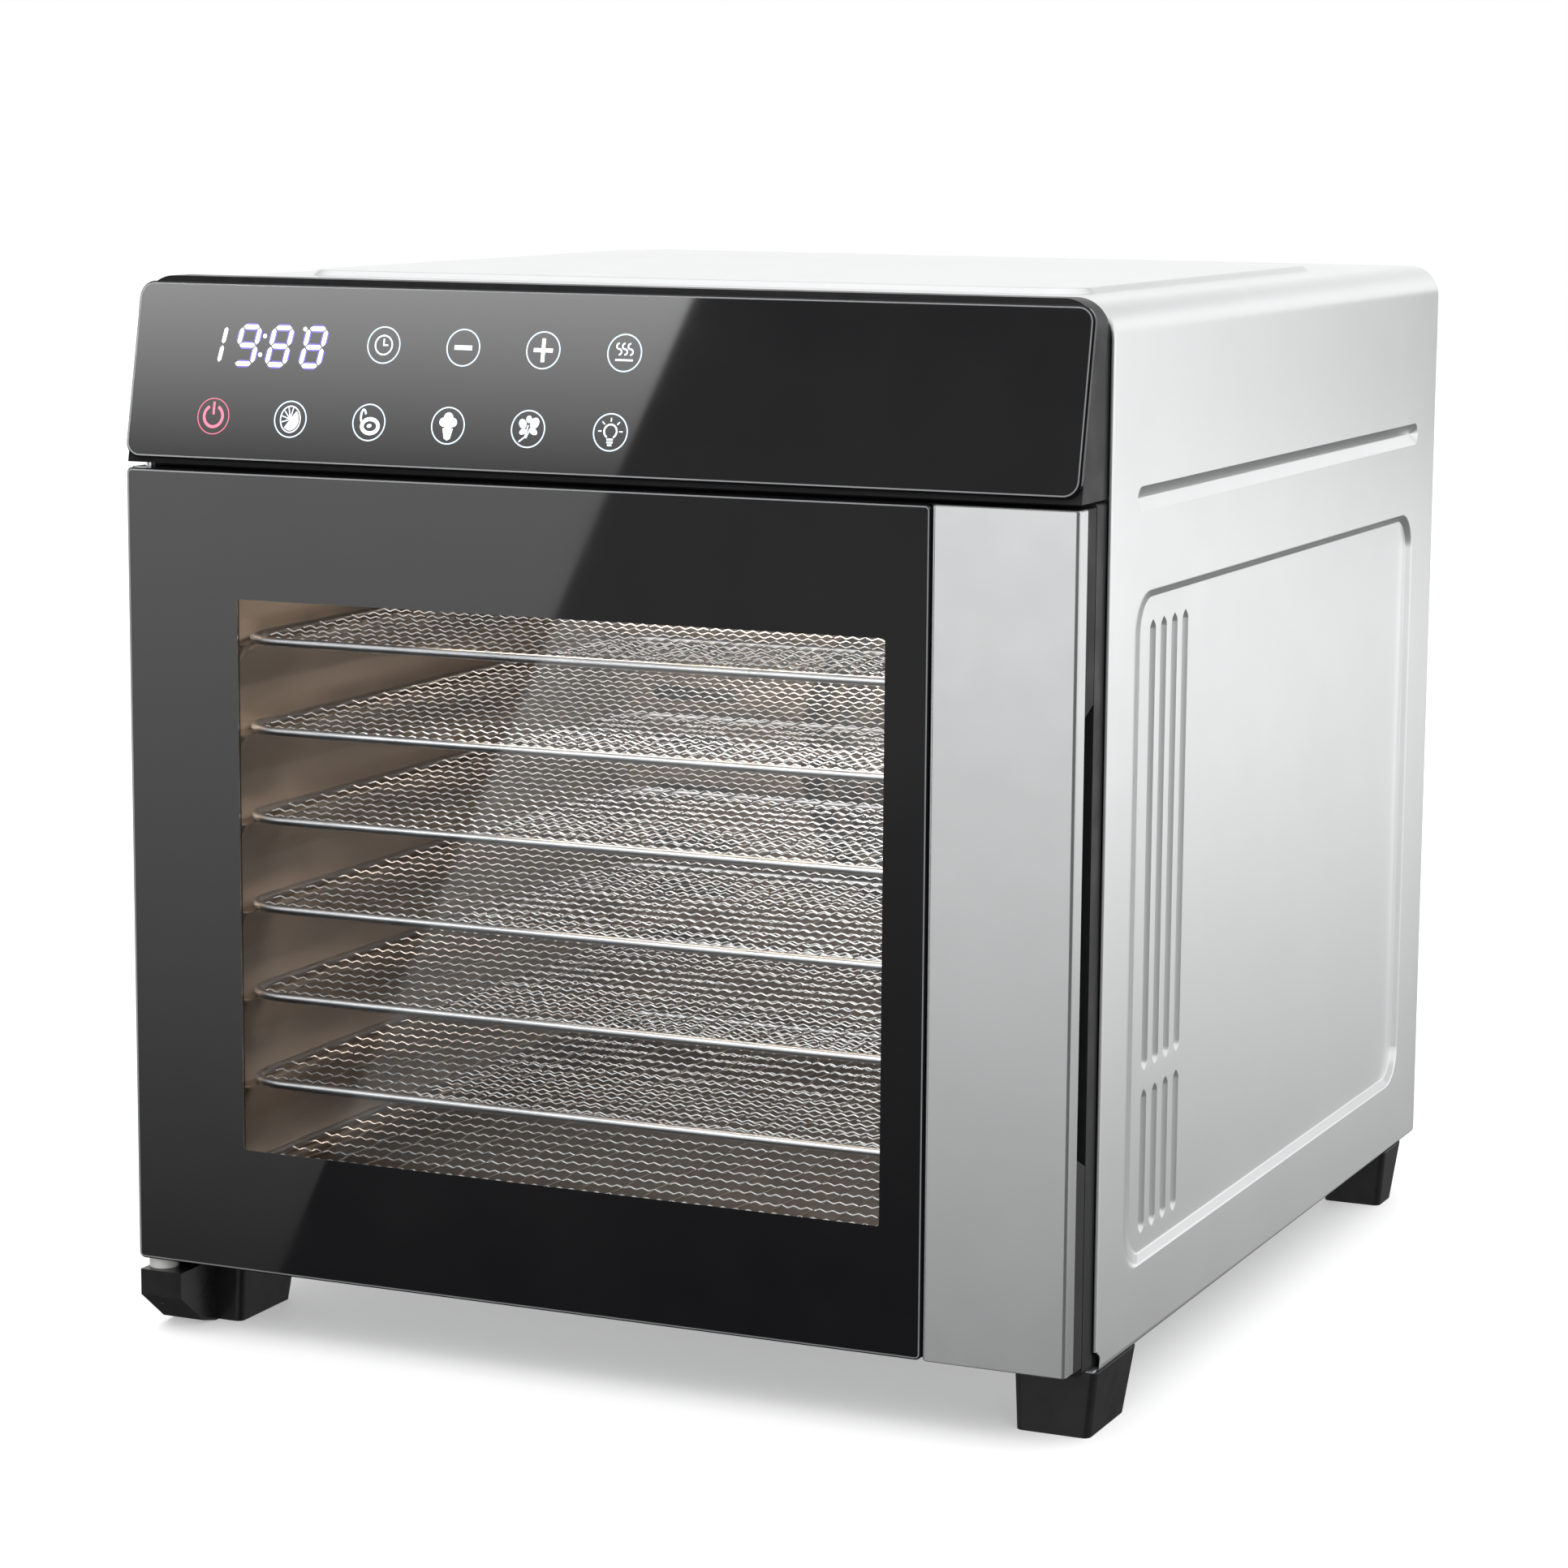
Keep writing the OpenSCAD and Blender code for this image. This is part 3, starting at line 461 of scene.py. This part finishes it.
(_, PANEL_X), _, _ = span("control_glass")
LEAN = math.radians(11.6)
PANEL_LENGTH = 59.0
PANEL_THICKNESS = 2.5
PANEL_Y, PANEL_Z = span("control_glass")[1][0], 300.0


def on_panel(x, v, n):
    """A point by its place across the control glass, up its slope and out of its face."""
    y = PANEL_Y + v * math.sin(LEAN) - n * math.cos(LEAN)
    z = PANEL_Z + v * math.cos(LEAN) + n * math.sin(LEAN)
    return x, y, z


def slab(bm, place, ring, thickness, edge):
    """Closed plate behind the plane at height 0, with chamfered edges that end in a pale ground seam."""
    seam = 0.45
    levels = [(0.15, -thickness), (0, -thickness + 0.15), (0, -edge), (edge, -0.05), (edge + seam, 0.0)]
    rows = [(ring(d), [bm.verts.new(place(u, v, n)) for u, v in ring(d)]) for d, n in levels]
    for k, ((_, a), (_, b)) in enumerate(zip(rows, rows[1:])):
        skin(bm, a, b, material=1 if k == len(levels) - 2 else 0)
    return rows


def build_control_glass():
    """Tilted black glass that covers the display and the touch pads."""
    bm = bmesh.new()
    outline = slot_ring((-PANEL_X, PANEL_X), (0, PANEL_LENGTH), 5.5, 8)
    rows = slab(bm, on_panel, outline, PANEL_THICKNESS, 0.6)
    fill(bm, [rows[0]], flip=True)
    fill(bm, [rows[-1]])
    piece("control_glass_panel", bm, [black_glass, glass_edge], "case", ["control_glass"],
          sharp=3)


# ---- Symbols on the control glass, as closed films ----


def bar(a, b, width):
    """Outline of a straight bar from a to b."""
    (ax, ay), (bx, by) = a, b
    length = math.hypot(bx - ax, by - ay)
    nx, ny = -(by - ay) / length * width / 2, (bx - ax) / length * width / 2
    return [(ax - nx, ay - ny), (bx - nx, by - ny), (bx + nx, by + ny), (ax + nx, ay + ny)]


def oval(c, rx, ry, turn=0.0):
    """Outline of an ellipse, turned by that many degrees."""
    steps = 20
    cos, sin = at_angle(turn, 1)
    ring = [at_angle(360 * i / steps, rx, ry) for i in range(steps)]
    return [(c[0] + x * cos - y * sin, c[1] + x * sin + y * cos) for x, y in ring]


def film(bm, outline, centre=(0, 0), low=0.01, high=0.05):
    """A closed film over an outline, between two heights above the control glass."""
    prism(bm, [(centre[0] + u, centre[1] + v) for u, v in outline], on_panel, low, high)


def ring_film(bm, centre, radius, width, start=0, sweep=360, steps=40, ry=None):
    """A ring, or an arc of one, as a closed film."""
    ry = ry or radius
    closed = sweep == 360
    count = steps if closed else steps + 1
    rows = []
    for r, n in ((-0.5, 0.01), (-0.5, 0.05), (0.5, 0.05), (0.5, 0.01)):
        row = []
        for i in range(count):
            du, dv = at_angle(start + sweep * i / steps, radius + r * width, ry + r * width)
            row.append(bm.verts.new(on_panel(centre[0] + du, centre[1] + dv, n)))
        rows.append(row)
    for a, b in zip(rows, rows[1:] + rows[:1]):
        skin(bm, a, b, closed=closed, flip=True)
    if not closed:
        bm.faces.new([row[0] for row in rows])
        bm.faces.new([row[-1] for row in rows][::-1])


# The bars of a seven-bar digit, from one grid point to another: columns 0 and 1, rows 0 to 2
SEGMENTS = {"a": ((0, 2), (1, 2)), "b": ((1, 1), (1, 2)), "c": ((1, 0), (1, 1)), "d": ((0, 0), (1, 0)),
            "e": ((0, 0), (0, 1)), "f": ((0, 1), (0, 2)), "g": ((0, 1), (1, 1))}


def digit_bars(x, v, lit_bars, thick=1.45):
    """Outlines of the lit bars of one slanted seven-bar digit; half is half its height."""
    width, half, gap, slant = 6.6, 6.1, 0.3, 0.17
    out = []
    for name in lit_bars:
        (ax, ay), (bx, by) = SEGMENTS[name]
        a, b = Vector((ax * width, ay * half)), Vector((bx * width, by * half))
        d = (b - a).normalized()
        n = Vector((-d.y, d.x)) * thick / 2
        a, b = a + d * gap, b - d * gap
        c = d * thick / 2
        ring = [a, a + c - n, b - c - n, b, b - c + n, a + c + n]
        out.append([(x + p.x + p.y * slant, v + p.y) for p in ring])
    return out


def build_display():
    """Four digits, three dots, and a dim halo behind the full digits."""
    base = 32.3
    digits, glow = bmesh.new(), bmesh.new()
    for x, bars in ((-142.2, "bc"), (-129.6, "abcdfg"), (-117.4, "abcdefg"), (-104.6, "abcdefg")):
        for ring in digit_bars(x, base, bars):
            film(digits, ring, low=0.045, high=0.07)
        if bars != "bc":
            for ring in digit_bars(x, base, bars, thick=2.4):
                film(glow, ring, low=0.01, high=0.03)
    for c in ((-118.9, 41.6), (-120.1, 35.4), (-104.0, 44.3)):
        film(digits, oval(c, 0.75, 0.75), low=0.045, high=0.07)
    piece("display_digits", digits, [digit_white], "case")
    piece("display_glow", glow, [digit_glow], "case")


def build_symbols():
    """Two rows of round touch symbols: rings, then what each ring holds."""
    lower = [(x, 14.6) for x in (-135.7, -106.5, -77.2, -48.2, -19.3, 9.9)]
    upper = [(x, 39.9) for x in (-74.3, -45.2, -16.4, 12.4)]
    radius = 5.9
    rings = bmesh.new()
    for c in lower[1:] + upper:
        ring_film(rings, c, radius, 0.42)
    piece("symbol_rings", rings, [symbol_ring], "case")

    red = bmesh.new()
    ring_film(red, lower[0], radius, 0.25)
    ring_film(red, lower[0], 3.5, 0.95, 118, 304, 32)
    film(red, bar((0, 0.6), (0, 4.8), 0.8), lower[0])
    piece("power_symbol", red, [symbol_red], "case")

    bm = bmesh.new()
    clock, minus, plus, warm = upper
    ring_film(bm, clock, 3.1, 0.5)
    film(bm, bar((0, -0.25), (0, 2.1), 0.5), clock)
    film(bm, bar((0, 0), (1.6, 0), 0.5), clock)
    film(bm, bar((-3.2, 0), (3.2, 0), 1.5), minus)
    film(bm, bar((-3.4, 0), (3.4, 0), 1.3), plus)
    film(bm, bar((0, 0.65), (0, 3.8), 1.3), plus)
    film(bm, bar((0, -3.8), (0, -0.65), 1.3), plus)
    for k in (-2.0, 0.0, 2.0):
        c = (warm[0] + k, warm[1])
        ring_film(bm, (c[0], c[1] + 2.1), 0.9, 0.5, 90, 180, 10)
        ring_film(bm, (c[0], c[1] + 0.3), 0.9, 0.5, -90, 180, 10)
    film(bm, bar((-3.1, -2.3), (3.1, -2.3), 0.6), warm)
    citrus, steak, cabbage, herb, bulb = lower[1:]
    ring_film(bm, citrus, 3.7, 0.4, 0, 360, 30, ry=4.3)
    film(bm, [at_angle(a, 3.1, 3.7) for a in range(-132, 49, 12)], citrus)
    for a in (75, 105, 135, 165, 195):
        film(bm, bar(at_angle(a, 0.2), at_angle(a, 3.3, 3.9), 0.35), citrus)
    ring_film(bm, (steak[0] + 0.5, steak[1] - 1.2), 3.0, 1.3, 0, 360, 30, ry=2.3)
    ring_film(bm, (steak[0] - 2.2, steak[1] + 1.9), 0.9, 0.7, 20, 230, 14, ry=2.2)
    film(bm, oval((0.2, -1.1), 0.9, 0.6, 15), steak)
    for dx, dy, r in ((0, 2.6, 1.7), (-1.7, 1.1, 1.5), (1.7, 1.1, 1.5), (0, 0.4, 1.6)):
        film(bm, oval((dx, dy), r, r), cabbage, low=0.01, high=0.05 + 0.004 * r)
    film(bm, [(-1.9, -0.9), (-1.1, -4.2), (0, -4.8), (1.1, -4.2), (1.9, -0.9), (0, -0.5)], cabbage)
    leaves = ((-2.0, 1.6, 1.3, 1.6, 30), (0.1, 3.1, 1.0, 1.2, 0), (2.2, 1.9, 1.5, 1.9, -30),
              (-1.8, -0.9, 1.3, 0.9, 30), (1.9, -0.7, 1.6, 1.0, -30))
    for dx, dy, rx, ry, turn in leaves:
        film(bm, oval((dx, dy), rx, ry, turn), herb)
    for a, b in (((0, 1.2), (-0.9, -2.6)), ((0.8, 0.2), (-0.6, -3.0)), ((-0.9, -2.6), (-3.0, -4.2))):
        film(bm, bar(a, b, 0.45), herb)
    middle = (bulb[0], bulb[1] + 0.3)
    ring_film(bm, middle, 2.2, 0.55, -60, 300, 30)
    for v, w in ((-2.3, 2.2), (-3.2, 2.2), (-4.1, 1.5)):
        film(bm, bar((-w / 2, v), (w / 2, v), 0.6), bulb)
    for a in (0, 45, 90, 135, 180):
        film(bm, bar(at_angle(a, 3.1), at_angle(a, 4.3), 0.4), middle)
    piece("touch_symbols", bm, [symbol_white], "case")


# ---- Door ----

GLASS_X, GLASS_Y, GLASS_Z = span("door_glass")
STRIP_X, STRIP_Y, STRIP_Z = span("door_strip")
WINDOW_X, WINDOW_Z = (-126.5, 105.3), (68.0, 254.4)


def build_door_glass():
    """Toughened plate: the printed black border, and the clear pane inside it.

    The pane is wider at its rear face, so that its side walls stay out of sight.
    """
    def place(u, v, n):
        return u, GLASS_Y[0] - n, v

    def window(bm, wider, n):
        x = (WINDOW_X[0] - wider, WINDOW_X[1] + wider)
        z = (WINDOW_Z[0] - wider, WINDOW_Z[1] + wider)
        ring = rounded(x, z, 1.0 + wider, 3)
        return ring, [bm.verts.new(place(*p, n)) for p in ring]

    depth = GLASS_Y[1] - GLASS_Y[0] - 0.05
    flare, gap = 2, 0.01
    bm = bmesh.new()
    rows = slab(bm, place, slot_ring(GLASS_X, GLASS_Z, 2.0, 4), depth, 0.5)
    front, rear = window(bm, 0, 0.0), window(bm, flare, -depth)
    fill(bm, [rows[-1], front])
    fill(bm, [rows[0], rear], flip=True)
    skin(bm, rear[1], front[1], flip=True)
    piece("door_glass_plate", bm, [black_glass, glass_edge], "door", ["door_glass"],
          sharp=3)

    bm = bmesh.new()
    front, rear = window(bm, 0, -gap), window(bm, flare, gap - depth)
    fill(bm, [front])
    fill(bm, [rear], flip=True)
    skin(bm, rear[1], front[1])
    piece("door_window_pane", bm, [clear_glass], "door", sharp=3)


def fold_path(points, radii):
    """Open polyline with rounded corners, in 2D."""
    steps = 5
    out = [Vector(points[0])]
    for before, corner, after, r in zip(points, points[1:], points[2:], radii):
        a, b, c = Vector(before), Vector(corner), Vector(after)
        u, w = (a - b).normalized(), (c - b).normalized()
        centre = b + (u + w) * r
        for i in range(steps + 1):
            t = math.radians(90 * i / steps)
            out.append(centre - w * r * math.cos(t) - u * r * math.sin(t))
    out.append(Vector(points[-1]))
    return out


def build_strip():
    """Stainless strip folded back along both long edges."""
    bm = bmesh.new()
    thick, round_off, flat_half = 1.2, 0.35, 22.8
    (x0, x1), (y0, y1), (z0, z1) = STRIP_X, STRIP_Y, STRIP_Z
    corners = [(x0, GLASS_Y[1]), (x0, y0), (x1, y0), (x1, y1)]
    inner = [(x0 + thick, GLASS_Y[1]), (x0 + thick, y0 + thick), (x1 - thick, y0 + thick),
             (x1 - thick, y1)]
    outline = fold_path(corners, (1.3, 1.6)) + fold_path(inner, (0.3, 0.5))[::-1]
    levels = [(z0, round_off), (z0 + round_off, 0.0), (z1 - round_off, 0.0), (z1, round_off)]
    middle = (x0 + x1) / 2
    rings = []
    for z, shrink in levels:
        ring = []
        for i, p in enumerate(outline):
            x, y = p.x, p.y
            if i < len(outline) // 2:
                if abs(p.y - y0) < 1.0:
                    y += shrink
                if abs(p.x - middle) > flat_half:
                    x += shrink if p.x < middle else -shrink
            ring.append((x, y, z))
        rings.append(ring)
    rows = loft(bm, rings)
    flat = [(x, y) for x, y, _ in rings[0]]
    fill(bm, [(flat, rows[0])])
    fill(bm, [(flat, rows[-1])], flip=True)
    bmesh.ops.recalc_face_normals(bm, faces=bm.faces)
    piece("door_strip_steel", bm, [strip_steel], "door", ["door_strip"], sharp=32)


# ---- Cavity walls with pressed ledges ----

TRAYS = ["tray_%d" % i for i in range(1, 8)]
TRAY_Z = [sum(span(n)[2]) / 2 for n in TRAYS]
ROD = span(TRAYS[0])[2][1] - TRAY_Z[0]


def build_wall(name, sign, replaced):
    """Side wall with a pressed ledge under each tray; a ledge's section is (depth, height) pairs."""
    wall, (y0, y1), (z0, z1) = span(replaced[0])
    wall = min(abs(wall[0]), abs(wall[1]))
    ledge = [(0.0, 7.0), (0.35, 4.5), (1.2, 2.0), (2.4, -0.6), (3.3, -1.75), (4.4, -1.95), (8.0, -1.95),
             (8.8, -2.3), (9.0, -3.1), (8.5, -4.6), (7.2, -6.8), (5.2, -9.6), (3.2, -12.2), (1.5, -14.6),
             (0.4, -16.8), (0.0, -18.6)]
    profile = [(0.0, z1)] + [(d, z + dz) for z in TRAY_Z for d, dz in ledge] + [(0.0, z0)]
    rise = [(0.3, 0), (7, 0), (9, 0.12), (11, 0.5), (13, 0.88), (15, 1)]
    stations = [(y0 + dy, share) for dy, share in rise]
    stations += [(y, 1) for y in range(45, 286, 30)]
    stations += [(298, 0.9), (301, 0.5), (304, 0.1), (306, 0), (y1, 0)]
    bm = bmesh.new()
    rings = [[(sign * (wall - d * share), y, z) for d, z in profile] for y, share in stations]
    loft(bm, rings, closed=False, flip=sign > 0)
    # The side walls take the liner steel with painted warm shade.
    piece(name, bm, [liner_steel], "case", replaced, sheet=0.5, sharp=50)


# ---- Trays: bent rod with crimped wire cloth ----


def tube(verts, faces, path, radius, sides, across, closed=False):
    """Adds a tube round a path that lies in the plane with normal across."""
    across = Vector(across)
    count = len(path)
    start = len(verts)
    for i, p in enumerate(path):
        before = path[i - 1] if closed or i else path[0]
        after = path[(i + 1) % count] if closed or i < count - 1 else path[-1]
        side = (after - before).normalized().cross(across)
        for k in range(sides):
            a = 2 * math.pi * (k + 0.5) / sides
            verts.append(p + (side * math.cos(a) + across * math.sin(a)) * radius)
    for i in range(count if closed else count - 1):
        for k in range(sides):
            a, b = start + i * sides, start + (i + 1) % count * sides
            faces.append((a + k, b + k, b + (k + 1) % sides, a + (k + 1) % sides))
    if not closed:
        faces.append([start + k for k in range(sides)])
        faces.append([start + (count - 1) * sides + k for k in range(sides)][::-1])


def tray_mesh():
    """A rod bent to a rounded rectangle, with wavy cross wires woven through straighter ones."""
    (_, x1), (y0, y1), _ = span(TRAYS[0])
    x, ya, yb, r = x1 - ROD, y0 + ROD, y1 - ROD, 18.0
    verts, faces = [], []
    frame_line = [Vector((u, v, 0)) for u, v in rounded((-x, x), (ya, yb), r, 10)]
    tube(verts, faces, frame_line, ROD, 14, (0, 0, 1), True)
    rod_faces = len(faces)

    def reach(distance, full):
        """How far a wire runs when it lies this far from the frame's parallel rod."""
        return full if distance >= r else full - r + math.sqrt(max(r * r - (r - distance) ** 2, 0))

    wire, quarter, pitch, depth = 0.31, 1.18, 11.8, 11.3
    wave, weave = 0.42, 0.3
    middle, rows = (ya + yb) / 2, 12
    for j in range(-rows, rows + 1):
        y = middle + j * depth
        end = reach((yb - ya) / 2 - abs(y - middle), x)
        steps = int(end / quarter)
        turn = 0 if j % 2 else 2
        path = [Vector((q * quarter, y, wave * math.sin(math.pi / 2 * (q + turn))))
                for q in range(-steps, steps + 1)]
        path = [Vector((-end, y, 0))] + path + [Vector((end, y, 0))]
        tube(verts, faces, path, wire, 5, (0, 1, 0))
    for k in range(-rows, rows):
        u = (k + 0.5) * pitch
        half = reach(x - abs(u), (yb - ya) / 2)
        steps = int(half / (depth / 2))
        path = []
        for q in range(-steps, steps + 1):
            sign = 1 if (q // 2 + k) % 2 else -1
            path.append(Vector((u, middle + q * depth / 2, 0 if q % 2 else weave * sign)))
        path = [Vector((u, middle - half, 0))] + path + [Vector((u, middle + half, 0))]
        tube(verts, faces, path, wire, 5, (1, 0, 0))
    mesh = bpy.data.meshes.new("tray")
    mesh.from_pydata(verts, [], faces)
    mesh.polygons.foreach_set("material_index", [1 if i < rod_faces else 0 for i in range(len(faces))])
    return mesh


def build_trays():
    """Seven trays that share one mesh; making the first one prepares it."""
    mesh = tray_mesh()
    for i, (node, z) in enumerate(zip(TRAYS, TRAY_Z)):
        if i == 0:
            obj = mesh_piece("wire_" + node, mesh, [tray_wire, tray_rod], node, [node],
                             sharp=60)
            obj.modifiers.clear()
            obj.parent = None
        else:
            obj = bpy.data.objects.new("wire_" + node, mesh)
            bpy.context.scene.collection.objects.link(obj)
        obj.location = (0, 0, z / 1000)
        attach(obj, node)
        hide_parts(node)


# ---- Build ----

build_wrap()
build_control_glass()
build_display()
build_symbols()
build_door_glass()
build_strip()
build_wall("wall_left", -1, ["liner_left", "tray_rails_left"])
build_wall("wall_right", 1, ["liner_right", "tray_rails_right"])
build_trays()

dress(zinc_sheet, "base_pan", "rear_panel", "fan_housing", "heater_posts", "catch_plates")
# Painted shade: the cavity's top, floor, back and fan guard get the darker copy of the liner steel.
dress(painted_deep_shade_liner, "liner_top", "liner_floor", "liner_back", "fan_guard")
dress(screw_steel, "rear_panel_screws", "fan_guard_screws", "foot_screws")
dress(frame_plastic, "front_frame", bevel=0.5)
dress(housing_plastic, "control_housing", bevel=0.5)
dress(door_plastic, "door_frame", bevel=0.4)
dress(foot_plastic, "foot_front_left", "foot_front_right", "foot_rear_left", "foot_rear_right",
      bevel=0.7)
dress(pin_steel, "hinge_pin_lower", "hinge_pin_upper", "motor_shaft", "fan_nut", "inlet_pins")
dress(washer_plastic, "hinge_washer")
dress(seal_rubber, "door_gasket")
dress(magnet, "door_magnets")
dress(motor_steel, "fan_motor", "temperature_sensor")
dress(impeller_alloy, "fan_impeller")
dress(heater_tube, "heater_element", bevel=0)
dress(ceramic_white, "thermal_cutout", "lamp_holder")
dress(bulb_glass, "lamp_bulb", bevel=0)
dress(lamp_glass, "lamp_cover")
dress(inlet_plastic, "inlet_socket")
dress(circuit_board, "control_board", "power_board")
dress(display_body, "display_module")
dress(pad_brass, "touch_pads")
dress(electronics, "power_board_parts")


# ---- Stage: floor, lights, reflector cards, camera ----


def stage_mesh(name, corners, material):
    """One flat face that belongs to the studio."""
    mesh = bpy.data.meshes.new(name)
    mesh.from_pydata(corners, [], [list(range(len(corners)))])
    mesh.materials.append(material)
    obj = bpy.data.objects.new(name, mesh)
    bpy.context.scene.collection.objects.link(obj)
    return obj


def floor_sheet(name, z, colour, glow, seen):
    """The floor is two sheets: a pale one for the camera, and a duller one that bounces light up."""
    finish = Finish(name, colour, 0.6, Emission_Strength=glow)
    finish.shader.inputs["Emission Color"].default_value = (1, 1, 1, 1)
    finish.mottle(finish.noise(400), [c * 0.98 for c in colour])
    obj = stage_mesh(name, [(-6, -6, z), (6, -6, z), (6, 6, z), (-6, 6, z)], finish.material)
    obj.visible_camera, obj.visible_diffuse = seen, not seen
    obj.visible_glossy = obj.visible_transmission = False
    obj.visible_shadow = False


floor_sheet("floor", 0.0, (0.9, 0.9, 0.9), 0.37, True)
floor_sheet("floor_bounce", -0.0005, (0.3, 0.3, 0.3), 0.0, False)


def group(name, members):
    """A collection that a lamp or card can be restricted to."""
    collection = bpy.data.collections.new(name)
    for member in members:
        collection.objects.link(bpy.data.objects[member])
    return collection


glass_only = group("glass_only", ["control_glass_panel", "door_glass_plate"])
wires = group("wires", ["wire_" + name for name in TRAYS])
walls = group("walls", ["wall_left", "wall_right"])


def card(name, corners, stops):
    """A softbox that only the two glass plates mirror; stops are (height, strength)."""
    material = bpy.data.materials.new(name)
    material.use_nodes = True
    nodes, links = material.node_tree.nodes, material.node_tree.links
    nodes.remove(nodes["Principled BSDF"])
    where, split = nodes.new("ShaderNodeTexCoord"), nodes.new("ShaderNodeSeparateXYZ")
    span_z, glow = nodes.new("ShaderNodeMapRange"), nodes.new("ShaderNodeEmission")
    (low, dim), (high, bright) = stops
    span_z.inputs["From Min"].default_value = low / 1000
    span_z.inputs["From Max"].default_value = high / 1000
    span_z.inputs["To Min"].default_value = dim
    span_z.inputs["To Max"].default_value = bright
    links.new(where.outputs["Object"], split.inputs[0])
    links.new(split.outputs["Z"], span_z.inputs["Value"])
    links.new(span_z.outputs["Result"], glow.inputs["Strength"])
    links.new(glow.outputs["Emission"], nodes["Material Output"].inputs["Surface"])
    obj = stage_mesh(name, [point(x, -900, z) for x, z in corners], material)
    obj.visible_camera = obj.visible_diffuse = obj.visible_transmission = obj.visible_shadow = False
    obj.light_linking.receiver_collection = glass_only


card("card_high", [(-1400, 450), (-471, 450), (-380, 810), (-1400, 810)], ((575, 3.4), (690, 21.5)))
card("card_low", [(-1400, -300), (-658, -300), (-383, 300), (-1400, 300)], ((-250, 1.2), (210, 7.2)))


def flag(name, corners):
    """A black sheet that only reflections see: it draws dark lines along edges that face it."""
    finish = Finish(name, (0.01, 0.01, 0.01), 0.9)
    finish.mottle(finish.noise(300), (0.014, 0.014, 0.014))
    obj = stage_mesh(name, corners, finish.material)
    obj.visible_camera = obj.visible_diffuse = obj.visible_transmission = obj.visible_shadow = False


flag("dark_side", [(0.45, -2.1, -0.9), (2.1, -0.45, -0.9), (2.1, -0.45, 1.0), (0.45, -2.1, 1.0)])
flag("dark_back", [(0.1, 2.2, 0.1), (0.85, 2.2, 0.1), (0.85, 2.2, 0.45), (0.1, 2.2, 0.45)])
flag("dark_edge", [(-0.3, 2.2, -0.6), (0.66, 2.2, -0.6), (0.66, 2.2, 0.1), (-0.3, 2.2, 0.1)])


def lamp(name, place, aim, size, power, colour=(1, 1, 1), only=None, shadow=True):
    """An area lamp; only restricts it to one group of pieces."""
    light = bpy.data.lights.new(name, "AREA")
    light.shape = "RECTANGLE"
    light.size, light.size_y = size
    light.energy = power
    light.color = colour
    obj = bpy.data.objects.new(name, light)
    bpy.context.scene.collection.objects.link(obj)
    obj.location = place
    obj.rotation_mode = "QUATERNION"
    obj.rotation_quaternion = (Vector(aim) - Vector(place)).to_track_quat("-Z", "Y")
    obj.visible_camera = obj.visible_transmission = False
    light.use_shadow = shadow
    obj.light_linking.receiver_collection = only


lamp("key", (-0.9, -1.5, 2.2), (0, 0, 0.2), (1.4, 1.0), 10)
lamp("side", (1.3, -1.3, 1.3), (0.17, -0.1, 0.25), (0.9, 0.9), 10)
lamp("sparkle", (-0.55, -0.9, 0.9), (0, 0, 0.15), (1.4, 0.5), 28, only=wires, shadow=False)
lamp("cavity_left", point(-120, 9, 165), point(60, 200, 120), (0.02, 0.2), 0.4, (1.0, 0.84, 0.72),
     only=walls)
lamp("cavity_top", point(0, 60, 284), point(0, 120, 60), (0.2, 0.05), 0.35, (1.0, 0.82, 0.64))

# The sky as (height of the direction, brightness): a dull floor below the horizon, a bright wall, and
# a darker band above it that draws the rounded edges of the case. The camera sees plain white instead.
world = bpy.data.worlds.new("studio")
bpy.context.scene.world = world
world.use_nodes = True
nodes, links = world.node_tree.nodes, world.node_tree.links
direction, split = nodes.new("ShaderNodeTexCoord"), nodes.new("ShaderNodeSeparateXYZ")
height, ramp = nodes.new("ShaderNodeMapRange"), nodes.new("ShaderNodeValToRGB")
height.inputs["From Min"].default_value = -1.0
ramp.color_ramp.elements[0].color = (0.05, 0.05, 0.05, 1)
ramp.color_ramp.elements[1].color = (1.2, 1.2, 1.2, 1)
SKY = ((-0.33, 0.07), (-0.27, 0.22), (-0.22, 0.52), (-0.18, 0.88), (-0.14, 1.38),
       (0.0, 1.36), (0.08, 1.08), (0.27, 1.2), (0.42, 0.35), (0.62, 0.9))
for z, level in SKY:
    ramp.color_ramp.elements.new((z + 1) / 2).color = (level, level, level, 1)
path, mix = nodes.new("ShaderNodeLightPath"), nodes.new("ShaderNodeMix")
mix.data_type = "RGBA"
mix.inputs["B"].default_value = (1, 1, 1, 1)
links.new(direction.outputs["Generated"], split.inputs[0])
links.new(split.outputs["Z"], height.inputs["Value"])
links.new(height.outputs["Result"], ramp.inputs["Fac"])
links.new(ramp.outputs["Color"], mix.inputs["A"])
links.new(path.outputs["Is Camera Ray"], mix.inputs["Factor"])
links.new(mix.outputs["Result"], nodes["Background"].inputs["Color"])

bpy.context.scene.view_settings.view_transform = "Standard"

camera = bpy.data.objects.new("camera", bpy.data.cameras.new("camera"))
bpy.context.scene.collection.objects.link(camera)
camera.data.sensor_width = 36.0
camera.data.lens = 98.85
az, el, roll = (math.radians(a) for a in (23.99, 8.938, 0.401))
right = Vector((math.cos(az), math.sin(az), 0))
back = Vector((math.sin(az) * math.cos(el), -math.cos(az) * math.cos(el), math.sin(el)))
up = back.cross(right)
cos, sin = math.cos(roll), math.sin(roll)
turned = Matrix((cos * right + sin * up, cos * up - sin * right, back))
camera.matrix_world = Matrix.Translation((0.6130, -1.4102, 0.4161)) @ turned.transposed().to_4x4()
bpy.context.scene.camera = camera
